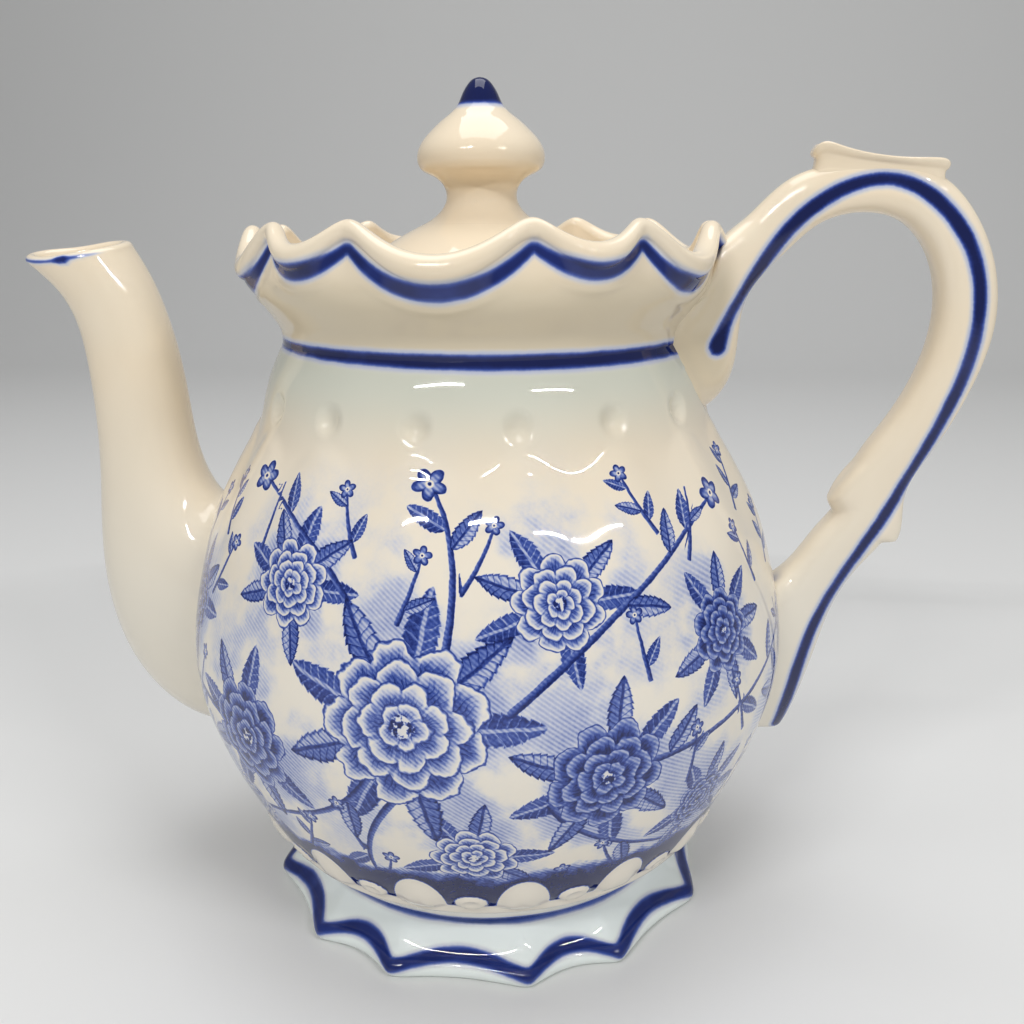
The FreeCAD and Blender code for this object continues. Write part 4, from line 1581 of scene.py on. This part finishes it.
@dataclass
class Handle:
    """The scrolled loop handle, with a cobalt stripe in a shallow groove along each flank."""

    rows: int = 420
    columns: int = 64
    root_inside: float = 2.2
    groove: float = 0.45
    knuckle: int = 14
    sleeve: float = 2.9
    sleeve_length: float = 22.0
    sleeve_end: float = 2.8
    lip_length: float = 13.0
    lip_slant: float = 9.4
    outer_share: float = 0.4
    fillet: float = 3.6
    spread: float = 1.25
    low_spread: float = 0.4
    stripe: tuple = (
        (59.6, 151.3, 2.3), (61.9, 157.7, 1.45), (67.8, 168.0, 1.65), (74.7, 178.3, 1.8),
        (83.5, 186.2, 1.85), (91.8, 189.9, 1.65), (99.8, 190.4, 1.6), (108.0, 186.7, 1.8),
        (115.4, 179.3, 1.85), (119.9, 170.7, 1.8), (121.7, 160.1, 1.7), (120.0, 145.6, 1.75),
        (114.4, 130.0, 1.6), (105.0, 110.2, 1.55), (93.2, 88.6, 1.45), (86.7, 73.1, 1.65),
        (82.9, 58.3, 1.85), (80.4, 48.6, 1.8),
    )
    stations: tuple = (
        (46.8, 151.2, 19.4, 8.6, 90.0),
        (52.0, 153.9, 19.4, 8.0, 96.0),
        (55.0, 155.8, 19.4, 7.5, 102.5),
        (58.3, 157.5, 15.9, 7.0, 108.0),
        (62.9, 169.1, 8.1, 6.3, 115.6),
        (70.3, 177.6, 6.5, 6.0, 132.0),
        (79.6, 185.8, 6.55, 6.0, 118.0),
        (93.9, 188.8, 5.8, 6.0, 90.0),
        (105.9, 186.6, 6.6, 6.0, 62.0),
        (113.9, 179.0, 6.8, 6.0, 35.0),
        (119.7, 157.9, 7.3, 6.2, -4.0),
        (116.8, 144.0, 7.0, 6.2, -18.0),
        (108.8, 127.5, 7.1, 6.2, -27.0),
        (102.3, 115.8, 7.4, 6.2, -30.0),
        (99.4, 105.7, 7.6, 6.2, -30.0),
        (94.2, 98.4, 7.5, 6.2, -35.0),
        (87.2, 87.6, 8.0, 6.4, -35.0),
        (80.0, 75.5, 11.2, 7.4, -28.0),
        (75.8, 64.8, 12.2, 8.6, -26.0),
        (70.9, 52.6, 12.4, 8.6, -25.0),
        (70.2, 50.4, 10.6, 7.4, -25.0),
        (69.5, 49.2, 7.5, 5.4, -25.0),
        (70.5, 47.6, 3.0, 2.4, -25.0),
    )

    def spurs(self, beyond: Array, tilt: Array) -> Array:
        """How the knuckle's sleeve stands out: a rounded lip inside the loop and a spur outside it.

        Args:
            beyond: millimetres along the path past the knuckle.
            tilt: the tilt of the ovals, in degrees.

        Returns:
            The way that each point moves. Both swell slowly and end in a step, and fade out on the flanks;
            the lip's end slants up the flank.
        """
        side = np.cos(round_angles(self.columns))
        slanted = beyond + self.lip_slant * (1.0 + side)
        lip = ease(-self.lip_length, -1.0, slanted) * ease(self.sleeve_end, 0.0, slanted)
        lip = lip * ease(-0.1, -0.7, side)
        spur = ease(-self.sleeve_length, 0.0, beyond) ** 2 * ease(self.sleeve_end, 0.0, beyond)
        out = self.sleeve * (spur * ease(0.25, 0.85, side) - lip)
        return np.stack((out * np.cos(np.radians(tilt)), 0.0 * out, out * np.sin(np.radians(tilt))), axis=-1)

    def luted(self, points: Array) -> Array:
        """The skin with its roots spread into the pot's wall, as slip that was wiped into the joint.

        Args:
            points: points of the skin.

        Returns:
            The points, turned about the pot's axis away from the handle's plane, more towards the wall.
        """
        reach = np.hypot(points[..., 0], points[..., 1])
        off = np.maximum(reach - pot_radius(points[..., 2]), 0.0)
        spread = mix(self.low_spread, self.spread, ease(90.0, 130.0, points[..., 2]))
        angle = np.arctan2(points[..., 1], points[..., 0]) * (1.0 + spread * np.exp(-off / self.fillet))
        return np.stack((reach * np.cos(angle), reach * np.sin(angle), points[..., 2]), axis=-1)

    def surface(self) -> Surface:
        """The handle's skin.

        Returns:
            The skin between the two roots, grooved along its stripes. A stripe's rows give x, z and half its
            width, and it starts in a drop of cobalt.
        """
        path = Spline(self.stations)
        tube = Tube(path, taper=0.16, fullness=0.1, columns=self.columns)
        first, last = tube.roots(self.root_inside, self.outer_share)
        even = np.linspace(0.0, 1.0, self.rows)[:, None]
        share = even + first * (1.0 - even) ** 7 - (1.0 - last) * even**7
        row = path.at(share)
        beyond = share * path.starts[-1] - path.starts[self.knuckle]
        points = self.luted(tube.at(share) + self.spurs(beyond, row[..., 4]))
        stripe = Spline(self.stripe).at(np.linspace(0.0, 1.0, 240))
        away = np.linalg.norm(points[..., None, ::2] - stripe[:, :2], axis=-1)
        band = (stripe[:, 2] - away).max(axis=-1)
        points[..., 1] *= 1.0 - self.groove / row[..., 3] * ease(-2.0, 1.6, band)
        return Surface(points, {"band": band, "tone": np.ones(band.shape)}).capped()

    def build(self, finishes: Finishes) -> None:
        """Adds the handle."""
        add_piece("handle_loop", self.surface(), finishes.plain, Body.POT, Slot.WHITE, "handle")


@dataclass
class ThumbRest:
    """The saddle-shaped plate on the crest of the handle, waisted where it grows out of it."""

    columns: int = 96
    rows: int = 26
    top_rows: int = 7
    squareness: float = 0.4
    middle: float = 96.5
    half_length: float = 15.9
    top: tuple = (
        (78.0, 195.6), (80.6, 197.8), (82.4, 199.2), (86.0, 198.6), (94.8, 196.3), (101.3, 195.5),
        (108.0, 195.3), (111.7, 194.8), (114.0, 193.4),
    )
    bottom: tuple = ((78.0, 186.0), (87.0, 188.6), (94.8, 189.2), (103.0, 187.6), (115.0, 182.0))
    levels: tuple = (
        (0.0, 1.6, 4.2), (0.3, 1.2, 4.6), (0.45, 0.5, 4.5), (0.56, -0.5, 4.35), (0.68, -0.8, 4.3),
        (0.82, -0.3, 4.85), (0.94, 0.1, 5.4), (1.0, -0.5, 5.0),
    )

    def surface(self) -> Surface:
        """The plate's skin.

        Returns:
            Oblong outlines with round corners, one over the other. The levels give each outline's share of
            the way up, its reach beyond the plate's ends and its half width. The last ones shrink inwards.
        """
        turn = round_angles(1440)
        oblong = np.stack((np.cos(turn), np.sin(turn)), axis=-1)
        oblong = np.sign(oblong) * np.abs(oblong) ** self.squareness
        steps = np.linalg.norm(oblong - np.roll(oblong, 1, axis=0), axis=1).cumsum()
        even = np.linspace(0.0, steps[-1], self.columns, endpoint=False)
        along, across = (np.interp(even, steps, oblong[:, axis], period=steps[-1]) for axis in (0, 1))
        rows = Spline(self.levels, lead=3).at(np.linspace(0.0, 1.0, self.rows))
        shrink = np.concatenate((np.ones(self.rows - 1), np.linspace(1.0, 0.1, self.top_rows)))[:, None]
        rows = np.concatenate((rows[:-1], np.repeat(rows[-1:], self.top_rows, axis=0)))
        x = self.middle + (self.half_length + rows[:, 1:2]) * along * shrink
        upper, lower = (Spline(line).at(np.linspace(0.0, 1.0, 200)) for line in (self.top, self.bottom))
        high = np.interp(x, *upper.T) + 0.3 * (1.0 - shrink**2)
        height = mix(np.interp(x, *lower.T), high, rows[:, :1])
        return Surface(np.stack((x, rows[:, 2:] * across * shrink, height), axis=-1)).capped()

    def build(self, finishes: Finishes) -> None:
        """Adds the thumb rest.

        Args:
            finishes: the finishes to dress it in.
        """
        surface = self.surface()
        shape = surface.points.shape[:2]
        surface.marks = {"band": np.full(shape, UNPAINTED), "tone": np.ones(shape)}
        add_piece("thumb_saddle", surface, finishes.plain, Body.POT, Slot.WHITE, "thumb_rest")


def lathe(profile: Array, columns: int, looped: bool = False, band: Array | None = None) -> Surface:
    """A skin turned about the pot's axis.

    Args:
        profile: radii and heights, one point a row.
        columns: points round it.
        looped: whether the profile closes on itself; otherwise it starts and ends on the axis.
        band: the depth inside a painted band at each point of the profile, or none.

    Returns:
        The skin, with its marks.
    """
    angle = round_angles(columns)[None, :]
    depth = np.full(len(profile), UNPAINTED) if band is None else band
    marks = {
        "band": np.broadcast_to(depth[:, None], (len(profile), columns)),
        "tone": np.ones((len(profile), columns)),
    }
    return Surface(on_pot(angle, profile[:, :1], profile[:, 1:]), marks, looped)


def ring_profile(inner: float, outer: float, low: float, high: float, rounding: float) -> Array:
    """The section of a ring with rounded corners.

    Args:
        inner: the ring's inner radius.
        outer: its outer radius.
        low: the height of its underside.
        high: the height of its top.
        rounding: the radius of its corners.

    Returns:
        A closed outline of radii and heights: quarter circles round the corners, joined by straight sides.
    """
    turn = np.linspace(0.0, 2.0 * np.pi, 48, endpoint=False) + 0.01
    half_width, half_height = (outer - inner) / 2.0, (high - low) / 2.0
    corner_r = (half_width - rounding) * np.sign(np.cos(turn))
    corner_z = (half_height - rounding) * np.sign(np.sin(turn))
    return np.stack((
        (inner + outer) / 2.0 + corner_r + rounding * np.cos(turn),
        (low + high) / 2.0 + corner_z + rounding * np.sin(turn),
    ), axis=-1)


@dataclass
class Lid:
    """The lift-off lid: a domed cover, its locating flange and an onion knob. The seat belongs here too."""

    columns: int = 160
    knob_columns: int = 96
    base: float = 153.3
    radius: float = 46.1
    top: float = 181.4
    hollow_top: float = 175.6
    edge: float = 0.9
    rim: float = 2.4
    stem: float = 8.0
    dome_curve: tuple = (
        (46.1, 157.5), (41.6, 164.0), (34.0, 170.2), (26.0, 175.2), (19.0, 179.3), (14.7, 181.4),
    )
    inner_curve: tuple = ((7.05, 175.6), (23.9, 165.5), (34.5, 157.9), (37.1, 153.3))
    knob_curve: tuple = (
        (14.7, 181.4), (12.4, 182.7), (10.4, 184.5), (9.2, 186.4), (8.9, 188.6), (9.8, 190.9), (12.2, 192.8),
        (15.2, 194.6), (16.0, 197.1), (14.7, 200.9), (12.3, 203.6), (9.6, 206.0), (7.0, 208.0), (5.6, 209.6),
        (4.5, 211.9), (3.1, 214.2), (1.7, 215.5), (0.0, 216.0),
    )
    cap_height: float = 209.4
    vent: float = 24.0
    vent_hole: float = 3.0
    vent_reach: tuple = (154.0, 190.0)
    flange: tuple = (37.1, 40.6, 141.3, 153.3, 1.2)
    seat: tuple = (41.1, 47.1, 148.0, 153.0, 0.8)

    def cover(self) -> Surface:
        """The cover's skin.

        Returns:
            Dome, rounded edge and hollow underside, turned about the axis from pole to pole.
        """
        outer = Spline(self.dome_curve).at(np.concatenate(([1.0, 0.998], np.linspace(0.985, 0.0, 60))))
        turn = np.linspace(0.0, 1.0, 9)[1:, None] * np.pi / 2.0
        corner = np.concatenate((np.cos(turn), -np.sin(turn)), axis=1) * self.edge
        corner = corner + (self.radius - self.edge, self.base + self.edge)
        inner = Spline(self.inner_curve).at(np.linspace(1.0, 0.0, 30))
        profile = np.concatenate((
            [[0.0, self.top], [self.stem, self.top]], outer, [[self.radius, self.base + self.rim]], corner,
            inner, [[0.0, self.hollow_top]],
        ))
        return lathe(profile, self.columns)

    def knob(self) -> Surface:
        """The knob's skin.

        Returns:
            Stem, onion and tip, turned about the axis, with a cobalt cap on the tip.
        """
        curve = Spline(self.knob_curve).at(np.concatenate(([0.0, 0.001], np.linspace(0.007, 1.0, 120))))
        curve[-1, 0] = 0.0
        profile = np.concatenate(([[0.0, self.top], [self.stem, self.top]], curve))
        return lathe(profile, self.knob_columns, band=profile[:, 1] - self.cap_height)

    def build(self, finishes: Finishes) -> None:
        """Adds the lid's three pieces and its seat, and pierces the steam hole.

        Args:
            finishes: the finishes to dress them in.
        """
        cover = add_piece("lid_dome", self.cover(), finishes.plain, Body.LID, Slot.WHITE, "lid_cover")
        bottom, top = (np.array([self.vent, 0.0, height]) for height in self.vent_reach)
        pierce(cover, [bar(bottom, top, self.vent_hole / 2.0)])
        add_piece("lid_onion_knob", self.knob(), finishes.plain, Body.LID, Slot.WHITE, "lid_knob")
        flange = lathe(ring_profile(*self.flange), self.columns, looped=True)
        add_piece("lid_ring", flange, finishes.plain, Body.LID, Slot.WHITE, "lid_flange")
        seat = lathe(ring_profile(*self.seat), self.columns, looped=True)
        add_piece("seat_ring", seat, finishes.plain, Body.POT, Slot.WHITE, "lid_seat")


@dataclass
class Studio:
    """A pale floor that curves up behind the pot, two narrow lamps and a broad one, and the camera.

    The floor and the lamps are in metres. A lamp's row gives its name, place, roll, sides and power.
    """

    eye: tuple = (40.1, -270.9, 182.25)
    yaw: float = 7.0
    pitch: float = 15.76
    roll: float = -0.6
    lens: float = 36.446
    sensor: float = 36.0
    floor_front: float = -1.6
    floor_back: float = 1.0
    floor_half: float = 2.4
    floor_bend: float = 0.5
    floor_columns: int = 30
    floor_colour: tuple = (0.78, 0.78, 0.77)
    floor_roughness: float = 0.75
    aim: tuple = (0.0, 0.0, 0.1)
    lamps: tuple = (
        ("lamp_left", (-0.28, -0.85, 0.86), 10.0, (0.45, 0.008), 4.4),
        ("lamp_right", (0.75, -0.72, 0.86), -12.0, (0.42, 0.008), 4.0),
        ("lamp_top", (0.0, 0.1, 1.4), 0.0, (1.0, 1.0), 9.0),
    )
    sky_colour: tuple = (0.97, 0.98, 1.0)
    sky_strength: float = 0.24

    def camera(self) -> None:
        """Adds the camera at the photograph's place."""
        data = bpy.data.cameras.new("camera")
        data.lens = self.lens
        data.sensor_width = self.sensor
        data.clip_start = 0.01
        camera = bpy.data.objects.new("camera", data)
        bpy.context.scene.collection.objects.link(camera)
        turn = Matrix.Rotation(math.radians(self.yaw), 4, "Z")
        tilt = Matrix.Rotation(math.radians(90.0 - self.pitch), 4, "X")
        roll = Matrix.Rotation(math.radians(self.roll), 4, "Z")
        camera.matrix_world = Matrix.Translation([value * MM for value in self.eye]) @ turn @ tilt @ roll
        bpy.context.scene.camera = camera

    def floor(self) -> None:
        """Adds the floor: a flat sheet that turns up into a wall behind the pot along a quarter circle."""
        back, bend = self.floor_back, self.floor_bend
        flat = np.stack((np.linspace(self.floor_front, back, 30), np.zeros(30)), axis=-1)
        turn = np.linspace(0.0, 1.0, 40) * np.pi / 2.0
        curve = np.stack((back + bend * np.sin(turn), bend - bend * np.cos(turn)), axis=-1)
        wall = np.stack((np.full(10, back + bend), bend + np.linspace(0.1, 1.6, 10)), axis=-1)
        profile = np.concatenate((flat, curve[1:], wall))
        across = np.linspace(-self.floor_half, self.floor_half, self.floor_columns)
        points = np.stack(np.broadcast_arrays(across[None, :], profile[:, :1], profile[:, 1:]), axis=-1)
        index = np.arange(len(profile) * self.floor_columns).reshape(-1, self.floor_columns)
        cells = np.stack((index[:-1, :-1], index[:-1, 1:], index[1:, 1:], index[1:, :-1]), axis=-1)
        mesh = bpy.data.meshes.new("floor")
        mesh.from_pydata(points.reshape(-1, 3).tolist(), [], cells.reshape(-1, 4).tolist())
        mesh.shade_smooth()
        material = bpy.data.materials.new("pale_floor")
        material.use_nodes = True
        shader = material.node_tree.nodes["Principled BSDF"]
        shader.inputs["Base Color"].default_value = (*self.floor_colour, 1.0)
        shader.inputs["Roughness"].default_value = self.floor_roughness
        mesh.materials.append(material)
        floor = bpy.data.objects.new("floor", mesh)
        bpy.context.scene.collection.objects.link(floor)

    def lamp(self, name: str, place: tuple, roll: float, sides: tuple[float, float], power: float) -> None:
        """Adds an oblong lamp that faces the pot.

        Args:
            name: its name.
            place: where it hangs, in metres.
            roll: how far its first side is turned out of level, in degrees.
            sides: its two sides, in metres.
            power: its power in watts.
        """
        data = bpy.data.lights.new(name, "AREA")
        data.shape = "RECTANGLE"
        data.size, data.size_y = sides
        data.energy = power
        lamp = bpy.data.objects.new(name, data)
        bpy.context.scene.collection.objects.link(lamp)
        away = Vector(place) - Vector(self.aim)
        facing = away.to_track_quat("Z", "Y").to_matrix().to_4x4()
        lamp.matrix_world = Matrix.Translation(place) @ facing @ Matrix.Rotation(math.radians(roll), 4, "Z")

    def build(self) -> None:
        """Adds the camera, floor, lamps and a dim even sky."""
        self.camera()
        self.floor()
        for lamp in self.lamps:
            self.lamp(*lamp)
        world = bpy.data.worlds.new("sky")
        world.use_nodes = True
        sky = world.node_tree.nodes["Background"]
        sky.inputs["Color"].default_value = (*self.sky_colour, 1.0)
        sky.inputs["Strength"].default_value = self.sky_strength
        bpy.context.scene.world = world
        bpy.context.scene.view_settings.view_transform = "Standard"


def main() -> None:
    """Builds and dresses every piece, then the studio."""
    logging.basicConfig(level=logging.INFO)
    finishes = Finishes()
    for part in (Foot(), Belly(), Collar(), Spout(), Handle(), ThumbRest(), Lid()):
        part.build(finishes)
    Studio().build()


if __name__ == "__main__":
    main()
